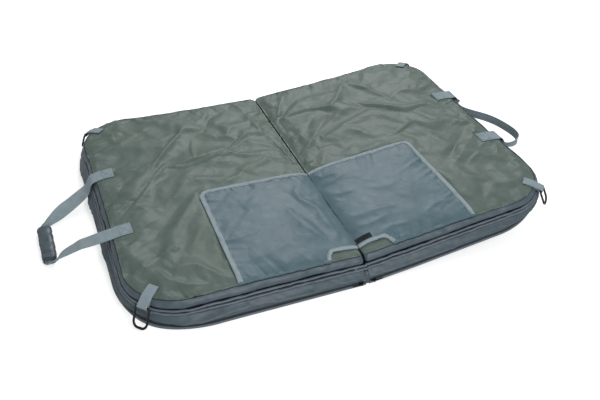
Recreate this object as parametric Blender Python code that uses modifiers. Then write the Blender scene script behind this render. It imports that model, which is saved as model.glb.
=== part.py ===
"""A folding unhooking mat, laid open.

Two padded halves lie side by side and fold together, green faces inward.
Each half is an upper pad over a base layer, sewn together at two rolled hems.
A bound kneeling flap is hinged on the front seam. Each end has a webbing
carry handle, each outer corner a webbing tab with a D ring, and the base has
a zip with two sliders at the front.

+X runs from the left half to the right one, +Y from front to back and +Z up.
The origin is under the middle of the crease, on the ground. Sizes are metres.
The left half lies on the ground. The right one rests a little lifted, folded
about the top of the crease.
"""

import math

import bmesh
import bpy
from mathutils import Matrix, Vector

# Driving sizes of the mat
HALF_LENGTH = 0.535
PAD_WIDTH = 0.772
SEAM_HEIGHT = 0.070
CROWN_HEIGHT = 0.009
CROWN_RUN = 0.200
FOLD_HEIGHT = 0.0055
FOLD_WIDTH = 0.046
FOLD_FADE = 0.050
CORNER_RADIUS = 0.124
CORNER_EASE = 0.045
END_FLARE_SHARE = 0.75
BASE_FLARE = 0.026
SIDE_DRAW = 0.004
END_DRAW = 0.005
CREASE_GAP = 0.003
CREASE_RADIUS = 0.014
LEAST_RADIUS = 0.002
SPLIT_SHARE = 0.568
REST_LIFT = math.radians(7)

# Cloth, foam and trim
SKIN = 0.0012
CLEARANCE = 0.0003
BASE_SHEET_THICKNESS = 0.0015
PIPING_RADIUS = 0.003
ZIP_HEIGHT = 0.006
ZIP_TAPE = 0.0012
ZIP_COIL = 0.0010
HEM_HEIGHT = 0.0052
HEM_REACH = 0.0105
HEM_TONGUE = 0.012
HEM_STEP = 0.002
LINING_DISH = 0.017
WALL_BULGE = 0.010
HEM_TUCK = 0.007

# Kneeling flap
FLAP_HALF_WIDTH = 0.303
FLAP_BACK = 0.042
FLAP_THICKNESS = 0.003
FLAP_CORNER = 0.028
FLAP_SETBACK = 0.002
MOUTH_HALF_WIDTH = 0.081
MOUTH_TAPER = 0.009
MOUTH_DEPTH = 0.026
BINDING_WIDTH = 0.012
BINDING_WALL = 0.001
LABEL_LENGTH = 0.040
LABEL_WIDTH = 0.016
LABEL_THICKNESS = 0.0008
LABEL_OFFSET = 0.0008
HINGE_OUTSET = 0.0005

# Webbing handles
STRAP_WIDTH = 0.040
STRAP_THICKNESS = 0.002
HANDLE_SPREAD = 0.120
TAIL_LENGTH = 0.047
TAIL_SETBACK = 0.0015
LOOP_OUTSET = 0.0002
LEFT_REACH = 0.144
RIGHT_REACH = 0.112
GRIP_LENGTH = 0.128
GRIP_WALL = 0.0035
GRIP_PLAY = 0.0007
GRIP_RISE = 0.0003
GRIP_LEAF = 0.0015
GRIP_LEAF_SETBACK = 0.001

# Corner tabs and rings
TAB_WIDTH = 0.025
TAB_THICKNESS = 0.0016
TAB_LENGTH = 0.028
TAB_UNDERLAP = 0.018
TAB_TURN = 0.002
TAB_SLOPE = math.radians(40)
RING_INNER_WIDTH = 0.028
RING_INNER_DEPTH = 0.040
RING_WIRE = 0.00225
RING_BEND = 0.0026
RING_OUTSET = 0.020
RING_DROP = 0.012
RING_LEAN = math.radians(20)

# Zip sliders and pulls
SLIDER_LENGTH = 0.011
SLIDER_HEIGHT = 0.0052
SLIDER_DEPTH = 0.0026
SLIDER_PLACE = 0.012
EAR_DEPTH = 0.0042
EAR_LENGTH = 0.0030
EAR_HEIGHT = 0.0009
PIN_RADIUS = 0.0006
PULL_BORE = 0.0010
PULL_RADIUS = 0.0019
PULL_LENGTH = 0.022
PULL_THICKNESS = 0.0012

# Spine gusset in the gap between the halves
GUSSET_PLY = 0.0005
GUSSET_HALF = 0.0009
GUSSET_SHARE = 0.78

# Counts
FRONT_STEPS = 5
CORNER_STEPS = 6
END_STEPS = 6
CREASE_STEPS = 2
CREASE_SIDE_STEPS = 4
ROUND_STEPS = 3
FOLD_COLUMNS = 8
FOLD_ROWS = 11

# Heights and insets of the crown, as shares of its height and its run
CROWN_RUN_SHARES = (0.0, 0.03, 0.10, 0.25, 0.55, 1.0)
CROWN_RISE_SHARES = (0.0, 0.30, 0.55, 0.80, 0.95, 1.0)

# The long soft folds in each top: where they start and end, out from the crease as a share
# of the half length and along it as a share of half the width, and their share of the height
LEFT_FOLD_SHARES = (
    (0.95, 0.48, 0.55, 0.86, 0.9),
    (0.88, 0.00, 0.36, 0.80, 1.0),
    (0.66, 0.27, 0.20, 0.37, 0.7),
    (0.64, -0.20, 0.82, -0.55, 0.9),
    (0.16, 0.86, 0.40, 0.62, 0.6),
    (0.86, -0.72, 0.68, -0.84, 0.8),
)
RIGHT_FOLD_SHARES = (
    (0.12, 0.26, 0.28, 0.54, 0.9),
    (0.20, 0.64, 0.52, 0.84, 0.8),
    (0.47, 0.62, 0.82, 0.24, 0.9),
    (0.68, -0.52, 0.95, -0.20, 1.0),
    (0.30, 0.28, 0.46, 0.04, 0.6),
    (0.80, 0.66, 0.93, 0.32, 0.6),
)

# Levels of the two boxings, from bottom to top, as shares of their own height,
# with the flare there as a share of the way from the seam's flare to the base's
PAD_WALL_SHARES = ((0.0, 0.72), (0.17, 1.0), (0.42, 0.82), (0.72, 0.42), (1.0, 0.0))
BASE_BAND_SHARES = ((0.0, 1.0), (0.22, 1.0), (0.52, 0.89), (0.86, 0.62), (1.0, 0.46))

COLOURS = {
    "green_cloth": ((0.145, 0.175, 0.152), 0.80, 0.0),
    "slate_cloth": ((0.135, 0.185, 0.205), 0.85, 0.0),
    "dark_cloth": ((0.080, 0.100, 0.120), 0.85, 0.0),
    "hem_cloth": ((0.200, 0.230, 0.265), 0.80, 0.0),
    "webbing": ((0.250, 0.310, 0.330), 0.85, 0.0),
    "foam": ((0.550, 0.550, 0.530), 0.95, 0.0),
    "zip_tape": ((0.060, 0.070, 0.080), 0.70, 0.0),
    "black_steel": ((0.020, 0.020, 0.024), 0.35, 0.9),
    "black_tag": ((0.015, 0.015, 0.015), 0.60, 0.0),
}

RIGHT = 1
LEFT = -1
HAND_NAMES = {RIGHT: "right", LEFT: "left"}

half_width = PAD_WIDTH / 2
split_height = SEAM_HEIGHT * SPLIT_SHARE
near_edge = CREASE_GAP / 2
zip_bottom = 2 * PIPING_RADIUS + CLEARANCE
band_bottom = zip_bottom + ZIP_HEIGHT + CLEARANCE
lower_hem_top = split_height - CLEARANCE / 2
lower_hem_bottom = lower_hem_top - HEM_HEIGHT
upper_hem_bottom = split_height + CLEARANCE / 2
upper_hem_top = upper_hem_bottom + HEM_HEIGHT
band_top = lower_hem_bottom - 2 * CLEARANCE - SKIN
pad_wall_bottom = upper_hem_top + 2 * CLEARANCE + SKIN
pad_wall_top = SEAM_HEIGHT - SKIN - CLEARANCE
panel_lift = 2 * CLEARANCE + BINDING_WALL
panel_top = panel_lift + FLAP_THICKNESS
binding_top = panel_top + CLEARANCE + BINDING_WALL
fold_height = SEAM_HEIGHT + CROWN_HEIGHT * CROWN_RISE_SHARES[3] + binding_top
foam_inset = SKIN + 2 * CLEARANCE


def clear_scene():
    """Remove whatever the file holds."""
    for item in list(bpy.data.objects):
        bpy.data.objects.remove(item, do_unlink=True)


def make_materials():
    """One Principled material for each kind of cloth, foam and metal."""
    made = {}
    for name, (colour, roughness, metallic) in COLOURS.items():
        material = bpy.data.materials.new(name)
        material.use_nodes = True
        shader = material.node_tree.nodes["Principled BSDF"]
        shader.inputs["Base Color"].default_value = (*colour, 1.0)
        shader.inputs["Roughness"].default_value = roughness
        shader.inputs["Metallic"].default_value = metallic
        made[name] = material
    return made


clear_scene()
materials = make_materials()
mat_parts = bpy.data.collections.new("unhooking_mat")
bpy.context.scene.collection.children.link(mat_parts)
cutters = bpy.data.collections.new("cutters")
bpy.context.scene.collection.children.link(cutters)
carriers = {}
carrier_places = {}


def add_carrier(body, place, parent=None):
    """An empty on a body's joint axis, which its pieces hang on."""
    empty = bpy.data.objects.new(body + "_carrier", None)
    mat_parts.objects.link(empty)
    carriers[body] = empty
    carrier_places[body] = Vector(place)
    if parent is None:
        empty.location = place
        return
    empty.parent = carriers[parent]
    empty.location = Vector(place) - carrier_places[parent]


def add_object(name, mesh, body, material):
    """Hang a mesh, given in world places, on the carrier of its body."""
    origin = carrier_places[body]
    mesh.transform(Matrix.Translation(-origin))
    mesh.materials.append(materials[material])
    piece = bpy.data.objects.new(name, mesh)
    mat_parts.objects.link(piece)
    piece.parent = carriers[body]
    return piece


def finish_mesh(name, shape, hand, body, material, closed=True):
    """Turn a right-hand shape into the piece of its own hand."""
    if closed:
        bmesh.ops.recalc_face_normals(shape, faces=shape.faces)
    if hand == LEFT:
        bmesh.ops.scale(shape, vec=(-1, 1, 1), verts=shape.verts)
        bmesh.ops.reverse_faces(shape, faces=shape.faces)
    mesh = bpy.data.meshes.new(name)
    shape.to_mesh(mesh)
    shape.free()
    return add_object(name, mesh, body, material)


def clamp(value):
    return min(max(value, 0.0), 1.0)


def rise(height):
    """How far up the upper pad a height lies, from 0 at the hems to 1 at the seam."""
    return clamp((height - split_height) / (SEAM_HEIGHT - split_height))


def drawn_in(x, y, height):
    """Pull the sides in between the corners, most at the top seam."""
    along = clamp((x - near_edge) / (HALF_LENGTH - CORNER_RADIUS - near_edge))
    across = clamp((y + half_width - CORNER_RADIUS) / (PAD_WIDTH - 2 * CORNER_RADIUS))
    side_pull = SIDE_DRAW * math.sin(math.pi * along) * rise(height)
    end_pull = END_DRAW * math.sin(math.pi * across) * rise(height)
    return Vector((x - end_pull * x / HALF_LENGTH, y - side_pull * y / half_width, height))


def arc(centre, radius, start, turn, steps):
    """Plan points along an arc, both ends included."""
    points = []
    for i in range(steps + 1):
        angle = start + turn * i / steps
        points.append((centre[0] + radius * math.cos(angle), centre[1] + radius * math.sin(angle)))
    return points


def line(start, end, steps):
    """Plan points along a line, both ends included."""
    points = []
    for i in range(steps + 1):
        share = i / steps
        points.append(tuple(a + (b - a) * share for a, b in zip(start, end)))
    return points


def corner_ease(height):
    """The base's corners are rounder than the pad's, most of all at the bottom."""
    return CORNER_EASE * clamp((split_height - height) / (split_height - band_bottom))


def edge_run(flare, inset, setback, height):
    """Plan of the three outer sides of a half: front, end and back."""
    start = near_edge + inset + setback
    far = HALF_LENGTH + flare * END_FLARE_SHARE - inset
    side = half_width + flare - inset
    radius = max(CORNER_RADIUS + corner_ease(height) + flare - inset, LEAST_RADIUS)
    centre_x = far - radius
    centre_y = side - radius
    quarter = math.pi / 2
    run = line((start, -side), (centre_x, -side), FRONT_STEPS)
    run += arc((centre_x, -centre_y), radius, -quarter, quarter, CORNER_STEPS)[1:]
    run += line((far, -centre_y), (far, centre_y), END_STEPS)[1:]
    run += arc((centre_x, centre_y), radius, 0, quarter, CORNER_STEPS)[1:]
    run += line((centre_x, side), (start, side), FRONT_STEPS)[1:]
    return run


def half_outline(flare, inset, height):
    """Closed outline of one half at a height, with small rounds at the crease."""
    near = near_edge + inset
    side = half_width + flare - inset
    radius = LEAST_RADIUS + (CREASE_RADIUS - LEAST_RADIUS) * rise(height)
    radius = max(radius - inset, LEAST_RADIUS)
    quarter = math.pi / 2
    outline = arc((near + radius, -side + radius), radius, math.pi, quarter, CREASE_STEPS)[:-1]
    outline += edge_run(flare, inset, radius, height)
    outline += arc((near + radius, side - radius), radius, quarter, quarter, CREASE_STEPS)[1:]
    outline += line((near, side - radius), (near, -side + radius), CREASE_SIDE_STEPS)[1:-1]
    return [drawn_in(x, y, height) for x, y in outline]


def outer_run(flare, height):
    """The three outer sides at a height, as an open run of points."""
    return [drawn_in(x, y, height) for x, y in edge_run(flare, 0, 0, height)]


def add_loop(shape, points):
    return [shape.verts.new(point) for point in points]


def bridge(shape, first, second, closed):
    """Faces between two runs of as many points."""
    count = len(first)
    for i in range(count if closed else count - 1):
        j = (i + 1) % count
        shape.faces.new((first[i], first[j], second[j], second[i]))


def ring_piece(name, section, hand, body, material):
    """A closed section swept round the whole half."""
    shape = bmesh.new()
    loops = [add_loop(shape, half_outline(*place)) for place in section]
    for first, second in zip(loops, loops[1:] + loops[:1]):
        bridge(shape, first, second, True)
    return finish_mesh(name, shape, hand, body, material)


def run_piece(name, section, hand, body, material):
    """A closed section swept along the three outer sides, with flat ends."""
    shape = bmesh.new()
    loops = [add_loop(shape, outer_run(*place)) for place in section]
    for first, second in zip(loops, loops[1:] + loops[:1]):
        bridge(shape, first, second, False)
    shape.faces.new([loop[0] for loop in loops])
    shape.faces.new([loop[-1] for loop in reversed(loops)])
    return finish_mesh(name, shape, hand, body, material)


def stacked_piece(name, loops, hand, body, material):
    """A solid whose outline changes from level to level, closed top and bottom."""
    shape = bmesh.new()
    levels = [add_loop(shape, points) for points in loops]
    for lower, upper in zip(levels, levels[1:]):
        bridge(shape, lower, upper, True)
    shape.faces.new(list(reversed(levels[0])))
    shape.faces.new(levels[-1])
    return finish_mesh(name, shape, hand, body, material)


def thicken(shape, thickness):
    """Give a sheet its thickness straight up from where it lies."""
    grown = bmesh.ops.extrude_face_region(shape, geom=list(shape.faces))
    verts = [item for item in grown["geom"] if isinstance(item, bmesh.types.BMVert)]
    bmesh.ops.translate(shape, vec=(0, 0, thickness), verts=verts)


def crown(depth):
    """Height of the pad's crown above its seam, at a distance in from the edge."""
    share = clamp(depth / CROWN_RUN)
    stops = list(zip(CROWN_RUN_SHARES, CROWN_RISE_SHARES))
    for (start, low), (end, high) in zip(stops, stops[1:]):
        if share <= end:
            return CROWN_HEIGHT * (low + (high - low) * (share - start) / (end - start))
    return CROWN_HEIGHT


def depth_inside(x, y):
    """Distance in from the nearest edge of the top panel."""
    beyond_x = x - (HALF_LENGTH - CORNER_RADIUS)
    beyond_y = abs(y) - (half_width - CORNER_RADIUS)
    if beyond_x > 0 and beyond_y > 0:
        return max(CORNER_RADIUS - math.hypot(beyond_x, beyond_y), 0)
    return max(min(x - near_edge, HALF_LENGTH - x, half_width - abs(y)), 0)


def on_panel(x, y, lift):
    """The place a lift above the top panel, over a plan point."""
    place = drawn_in(x, y, SEAM_HEIGHT)
    place.z += crown(depth_inside(x, y)) + lift
    return place


def crown_insets():
    return [CROWN_RUN * share for share in CROWN_RUN_SHARES]


def crown_loops(drop, least_inset):
    """Loops that follow the crown a drop below its outer face, outermost first."""
    insets = [inset for inset in crown_insets() if inset > least_inset]
    loops = []
    for inset in [least_inset] + insets:
        loop = half_outline(0, inset, SEAM_HEIGHT)
        for point in loop:
            point.z += crown(inset) - drop
        loops.append(loop)
    return loops


def wall_levels(shares, bottom, top, flare):
    """Flare and height at each level of a boxing."""
    return [(flare * flare_share, bottom + (top - bottom) * share) for share, flare_share in shares]


pad_wall_levels = wall_levels(PAD_WALL_SHARES, pad_wall_bottom, pad_wall_top, WALL_BULGE)
base_band_levels = wall_levels(BASE_BAND_SHARES, band_bottom, band_top, BASE_FLARE)


def wall_section(levels):
    """Outer face of a boxing going up, then its inner face coming down."""
    outer = [(flare, 0, height) for flare, height in levels]
    inner = [(flare, SKIN, height) for flare, height in reversed(levels)]
    return outer + inner


def fold_rise(x, y, folds):
    """Rise of the soft folds at a plan point, clear of the flap and of what is sewn on."""
    place = Vector((x, y))
    total = 0
    for start_x, start_y, end_x, end_y, height_share in folds:
        start = Vector((start_x * HALF_LENGTH, start_y * half_width))
        way = Vector((end_x * HALF_LENGTH, end_y * half_width)) - start
        reached = clamp((place - start).dot(way) / way.length_squared)
        away = (place - start - way * reached).length
        total += FOLD_HEIGHT * height_share * clamp(1 - away / FOLD_WIDTH)
    beyond_edge = depth_inside(x, y) - CROWN_RUN * CROWN_RUN_SHARES[3] - END_DRAW
    beyond_flap = max(x - FLAP_HALF_WIDTH, y + FLAP_BACK) - BINDING_WIDTH
    return total * clamp(beyond_edge / FOLD_FADE) * clamp(beyond_flap / FOLD_FADE)


def cut_in_cells(shape):
    """Cut a sheet along lines both ways, so that it can bend clear of the flap."""
    columns = [HALF_LENGTH * number / FOLD_COLUMNS for number in range(1, FOLD_COLUMNS)]
    rows = [PAD_WIDTH * number / FOLD_ROWS - half_width for number in range(1, FOLD_ROWS)]
    cuts = [((x, 0, 0), (1, 0, 0)) for x in columns + [FLAP_HALF_WIDTH + BINDING_WIDTH]]
    cuts += [((0, y, 0), (0, 1, 0)) for y in rows + [BINDING_WIDTH - FLAP_BACK]]
    for place, way in cuts:
        geometry = shape.verts[:] + shape.edges[:] + shape.faces[:]
        bmesh.ops.bisect_plane(shape, geom=geometry, dist=CLEARANCE, plane_co=place, plane_no=way)


def add_top_panel(hand, body):
    """The green top of a pad: a crowned skin that hangs from its seam, with soft folds."""
    shape = bmesh.new()
    levels = [add_loop(shape, points) for points in crown_loops(SKIN, 0)]
    for outer, inner in zip(levels, levels[1:]):
        bridge(shape, outer, inner, True)
    shape.faces.new(levels[-1])
    cut_in_cells(shape)
    folds = RIGHT_FOLD_SHARES if hand == RIGHT else LEFT_FOLD_SHARES
    for vert in shape.verts:
        vert.co.z += fold_rise(vert.co.x, vert.co.y, folds)
    thicken(shape, SKIN)
    finish_mesh(HAND_NAMES[hand] + "_top_panel", shape, hand, body, "green_cloth")


def add_pad_foam(hand, body):
    """Foam that fills the upper pad up to its crown."""
    lining_top = split_height + CLEARANCE / 2 + SKIN
    levels = [half_outline(HEM_TUCK, LINING_DISH, lining_top + CLEARANCE)]
    for flare, height in pad_wall_levels:
        levels.append(half_outline(flare, foam_inset, height + CLEARANCE))
    loops = levels[:-1] + crown_loops(SKIN + 2 * CLEARANCE, foam_inset)
    stacked_piece(HAND_NAMES[hand] + "_pad_foam", loops, hand, body, "foam")


def add_base_foam(hand, body):
    """Foam that fills the base layer."""
    floor = BASE_SHEET_THICKNESS + CLEARANCE
    levels = [half_outline(BASE_FLARE - PIPING_RADIUS, foam_inset, floor)]
    levels.append(half_outline(BASE_FLARE - PIPING_RADIUS, foam_inset, band_bottom))
    for flare, height in base_band_levels[1:]:
        levels.append(half_outline(flare - CLEARANCE, foam_inset, height))
    lining_floor = split_height - CLEARANCE / 2 - SKIN
    levels.append(half_outline(HEM_TUCK, foam_inset, band_top))
    levels.append(half_outline(HEM_TUCK, LINING_DISH, lining_floor - CLEARANCE))
    stacked_piece(HAND_NAMES[hand] + "_base_foam", levels, hand, body, "foam")


def lining_face(flare, edge_height, middle_height):
    """Height of a dished lining at a flare, between its edge and its middle."""
    share = clamp((HEM_TUCK - flare) / LINING_DISH)
    return edge_height + (middle_height - edge_height) * share


def add_lining(name, edge_height, middle_height, hand, body):
    """A cloth lining, dished to meet the other layer behind the hems."""
    shape = bmesh.new()
    edge = half_outline(HEM_TUCK, 0, edge_height)
    middle = half_outline(HEM_TUCK, LINING_DISH, middle_height)
    levels = [add_loop(shape, edge), add_loop(shape, middle)]
    bridge(shape, levels[0], levels[1], True)
    shape.faces.new(levels[1])
    thicken(shape, SKIN)
    finish_mesh(name, shape, hand, body, "dark_cloth")


def hem_section(seat, face, step):
    """Rolled hem: a tongue between the linings and a round lip outside them."""
    lip = HEM_TUCK + HEM_REACH + step
    away = 1 if face > seat else -1
    rounding = (face - seat) / 3
    lining = face + away * CLEARANCE
    tongue = HEM_TUCK - HEM_TONGUE
    tongue_face = lining_face(tongue, lining, seat) - away * CLEARANCE
    return [
        (tongue, seat),
        (lip - 2 * abs(rounding), seat),
        (lip, seat + rounding),
        (lip, face - rounding),
        (lip - 2 * abs(rounding), face),
        (HEM_TUCK, face),
        (tongue, tongue_face),
    ]


def tube_section(flare, height, radius, sides):
    """A round section, as flares and heights."""
    section = []
    for i in range(sides):
        angle = 2 * math.pi * i / sides
        section.append((flare + radius * math.cos(angle), height + radius * math.sin(angle)))
    return section


def zip_section():
    """Zip tape with the coil standing out along its middle."""
    face = BASE_FLARE
    back = BASE_FLARE - ZIP_TAPE
    middle = zip_bottom + ZIP_HEIGHT / 2
    coil = ZIP_HEIGHT / 6
    top = zip_bottom + ZIP_HEIGHT
    return [
        (face, zip_bottom),
        (face, middle - coil),
        (face + ZIP_COIL, middle),
        (face, middle + coil),
        (face, top),
        (back, top),
        (back, zip_bottom),
    ]


def add_base_sheet(hand, body):
    """The tough sheet that lies on the ground."""
    flare = BASE_FLARE - PIPING_RADIUS
    loops = [half_outline(flare, 0, 0), half_outline(flare, 0, BASE_SHEET_THICKNESS)]
    stacked_piece(HAND_NAMES[hand] + "_base_sheet", loops, hand, body, "dark_cloth")


def add_layers(hand, body):
    """Everything that makes up one half's pad and base, bottom to top."""
    side = HAND_NAMES[hand]
    add_base_sheet(hand, body)
    piping = tube_section(BASE_FLARE + CLEARANCE, PIPING_RADIUS, PIPING_RADIUS, 6)
    run_piece(side + "_base_piping", piping, hand, body, "hem_cloth")
    run_piece(side + "_base_zip", zip_section(), hand, body, "zip_tape")
    ring_piece(side + "_base_band", wall_section(base_band_levels), hand, body, "slate_cloth")
    add_base_foam(hand, body)
    edge = lower_hem_bottom - CLEARANCE - SKIN
    add_lining(side + "_base_lining", edge, split_height - CLEARANCE / 2 - SKIN, hand, body)
    section = hem_section(lower_hem_top, lower_hem_bottom, HEM_STEP)
    run_piece(side + "_base_hem", section, hand, body, "hem_cloth")
    section = hem_section(upper_hem_bottom, upper_hem_top, 0)
    run_piece(side + "_pad_hem", section, hand, body, "hem_cloth")
    edge = upper_hem_top + CLEARANCE
    add_lining(side + "_pad_lining", edge, split_height + CLEARANCE / 2, hand, body)
    ring_piece(side + "_pad_wall", wall_section(pad_wall_levels), hand, body, "dark_cloth")
    add_pad_foam(hand, body)
    add_top_panel(hand, body)


def flap_columns():
    """Distances from the crease of the flap's columns, the mouth's corner among them."""
    inner = [near_edge + inset for inset in crown_insets()]
    columns = [x for x in inner if x < FLAP_HALF_WIDTH - FLAP_CORNER]
    columns += [near_edge + MOUTH_DEPTH, near_edge + MOUTH_DEPTH + BINDING_WIDTH]
    columns += [MOUTH_HALF_WIDTH - MOUTH_TAPER, FLAP_HALF_WIDTH]
    return sorted(columns)


def flap_rows():
    """Plan rows behind the mouth: a distance back, and how far the corner cuts in."""
    front = -half_width
    back = -FLAP_BACK
    rows = [(front + MOUTH_DEPTH, 0), (front + MOUTH_DEPTH + BINDING_WIDTH, 0)]
    for inset in crown_insets():
        if MOUTH_DEPTH + BINDING_WIDTH < inset < back - FLAP_CORNER - front:
            rows.append((front + inset, 0))
    for i in range(ROUND_STEPS + 1):
        angle = math.pi / 2 * i / ROUND_STEPS
        y = back - FLAP_CORNER * (1 - math.sin(angle))
        rows.append((y, FLAP_CORNER * (1 - math.cos(angle))))
    return rows


def add_flap_panel(hand, body):
    """One half of the flap's padded panel, cut out at the middle of its hinge edge."""
    shape = bmesh.new()
    columns = flap_columns()
    corner = MOUTH_HALF_WIDTH - MOUTH_TAPER
    grid = []
    for y, cut in flap_rows():
        row = [shape.verts.new(on_panel(x, y, panel_lift)) for x in columns[:-1]]
        row.append(shape.verts.new(on_panel(FLAP_HALF_WIDTH - cut, y, panel_lift)))
        grid.append(row)
    for first, second in zip(grid, grid[1:]):
        bridge(shape, first, second, False)
    kept = columns.index(corner)
    beyond = columns[kept:]
    upper = grid[0][kept:]
    insets = [inset for inset in crown_insets() if FLAP_SETBACK < inset < MOUTH_DEPTH]
    for inset in reversed([FLAP_SETBACK] + insets):
        share = (MOUTH_DEPTH - inset) / MOUTH_DEPTH
        row = []
        for x in beyond:
            shift = MOUTH_TAPER * share * (FLAP_HALF_WIDTH - x) / (FLAP_HALF_WIDTH - corner)
            row.append(shape.verts.new(on_panel(x + shift, inset - half_width, panel_lift)))
        bridge(shape, row, upper, False)
        upper = row
    thicken(shape, FLAP_THICKNESS)
    finish_mesh(HAND_NAMES[hand] + "_flap_panel", shape, hand, body, "slate_cloth")


def binding_section():
    """A folded tape round an edge: distance in from the edge, height above the top panel."""
    out = -CLEARANCE
    top = panel_top + CLEARANCE
    return [
        (BINDING_WIDTH, CLEARANCE),
        (out - BINDING_WALL, CLEARANCE),
        (out - BINDING_WALL, binding_top),
        (BINDING_WIDTH, binding_top),
        (BINDING_WIDTH, top),
        (out, top),
        (out, panel_lift - CLEARANCE),
        (BINDING_WIDTH, panel_lift - CLEARANCE),
    ]


def add_binding(name, path, hand, body):
    """Binding along a path of plan points, each with the way in to the cloth."""
    shape = bmesh.new()
    rings = []
    for (x, y), (in_x, in_y) in path:
        ring = []
        for inward, lift in binding_section():
            ring.append(on_panel(x + in_x * inward, y + in_y * inward, lift))
        rings.append(add_loop(shape, ring))
    for first, second in zip(rings, rings[1:]):
        bridge(shape, first, second, True)
    shape.faces.new(list(reversed(rings[0])))
    shape.faces.new(rings[-1])
    finish_mesh(name, shape, hand, body, "webbing")


def outer_binding_path():
    """From the crease along the back edge, round the corner and down to the hinge."""
    back = -FLAP_BACK
    path = []
    for x in flap_columns()[:-1]:
        path.append(((x, back), (0, -1)))
    for i in range(ROUND_STEPS + 1):
        angle = math.pi / 2 * (1 - i / ROUND_STEPS)
        way = (math.cos(angle), math.sin(angle))
        centre = (FLAP_HALF_WIDTH - FLAP_CORNER, back - FLAP_CORNER)
        point = (centre[0] + FLAP_CORNER * way[0], centre[1] + FLAP_CORNER * way[1])
        path.append((point, (-way[0], -way[1])))
    for inset in reversed(crown_insets()[1:]):
        path.append(((FLAP_HALF_WIDTH, inset - half_width), (-1, 0)))
    path.append(((FLAP_HALF_WIDTH, FLAP_SETBACK - half_width), (-1, 0)))
    return path


def mouth_binding_path():
    """From the hinge up the mouth's leg, over its mitred corner and to the crease."""
    corner = (MOUTH_HALF_WIDTH - MOUTH_TAPER, MOUTH_DEPTH - half_width)
    leg = math.hypot(MOUTH_TAPER, MOUTH_DEPTH)
    way = (MOUTH_DEPTH / leg, MOUTH_TAPER / leg)
    scale = 1 + way[1]
    path = []
    insets = [inset for inset in crown_insets() if FLAP_SETBACK < inset < MOUTH_DEPTH]
    for inset in [FLAP_SETBACK] + insets:
        x = MOUTH_HALF_WIDTH - MOUTH_TAPER * inset / MOUTH_DEPTH
        path.append(((x, inset - half_width), way))
    path.append((corner, (way[0] / scale, (way[1] + 1) / scale)))
    for x in reversed([x for x in flap_columns() if x < corner[0]]):
        path.append(((x, corner[1]), (0, 1)))
    return path


def add_label(hand, body):
    """A plain black tag sewn on the flap beside the crease."""
    shape = bmesh.new()
    start = near_edge + LABEL_OFFSET
    end = start + LABEL_LENGTH
    front = MOUTH_DEPTH + BINDING_WIDTH + CLEARANCE - half_width
    columns = [start] + [near_edge + i for i in crown_insets() if start < near_edge + i < end] + [end]
    rows = []
    for y in (front, front + LABEL_WIDTH):
        lift = panel_top + CLEARANCE
        rows.append([shape.verts.new(on_panel(x, y, lift)) for x in columns])
    bridge(shape, rows[0], rows[1], False)
    thicken(shape, LABEL_THICKNESS)
    finish_mesh("label", shape, hand, body, "black_tag")


def add_flap(hand, body):
    side = HAND_NAMES[hand]
    add_flap_panel(hand, body)
    add_binding(side + "_flap_binding", outer_binding_path(), hand, body)
    add_binding(side + "_mouth_binding", mouth_binding_path(), hand, body)


def add_strap(name, stations, width, thickness, hand, body, material):
    """A strip along stations, each a place and the way across the strip."""
    shape = bmesh.new()
    near_side = [shape.verts.new(place - across * width / 2) for place, across in stations]
    far_side = [shape.verts.new(place + across * width / 2) for place, across in stations]
    bridge(shape, near_side, far_side, False)
    piece = finish_mesh(name, shape, hand, body, material, closed=False)
    solid = piece.modifiers.new("thickness", "SOLIDIFY")
    solid.thickness = thickness
    solid.offset = 0
    solid.use_even_offset = True
    return piece


def add_tail(hand, end, body):
    """The sewn end of a handle, flat on the top panel."""
    shape = bmesh.new()
    middle = HANDLE_SPREAD * (1 if end == "back" else -1)
    outer = HALF_LENGTH - TAIL_SETBACK
    inner = HALF_LENGTH - TAIL_LENGTH
    columns = [HALF_LENGTH - inset for inset in crown_insets() if TAIL_SETBACK < inset < TAIL_LENGTH]
    columns = sorted([inner, outer] + columns)
    rows = []
    for y in line((middle - STRAP_WIDTH / 2,), (middle + STRAP_WIDTH / 2,), 2):
        rows.append([shape.verts.new(on_panel(x, y[0], CLEARANCE)) for x in columns])
    for first, second in zip(rows, rows[1:]):
        bridge(shape, first, second, False)
    thicken(shape, STRAP_THICKNESS)
    name = HAND_NAMES[hand] + "_handle_tail_" + end
    finish_mesh(name, shape, hand, body, "webbing")


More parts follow.
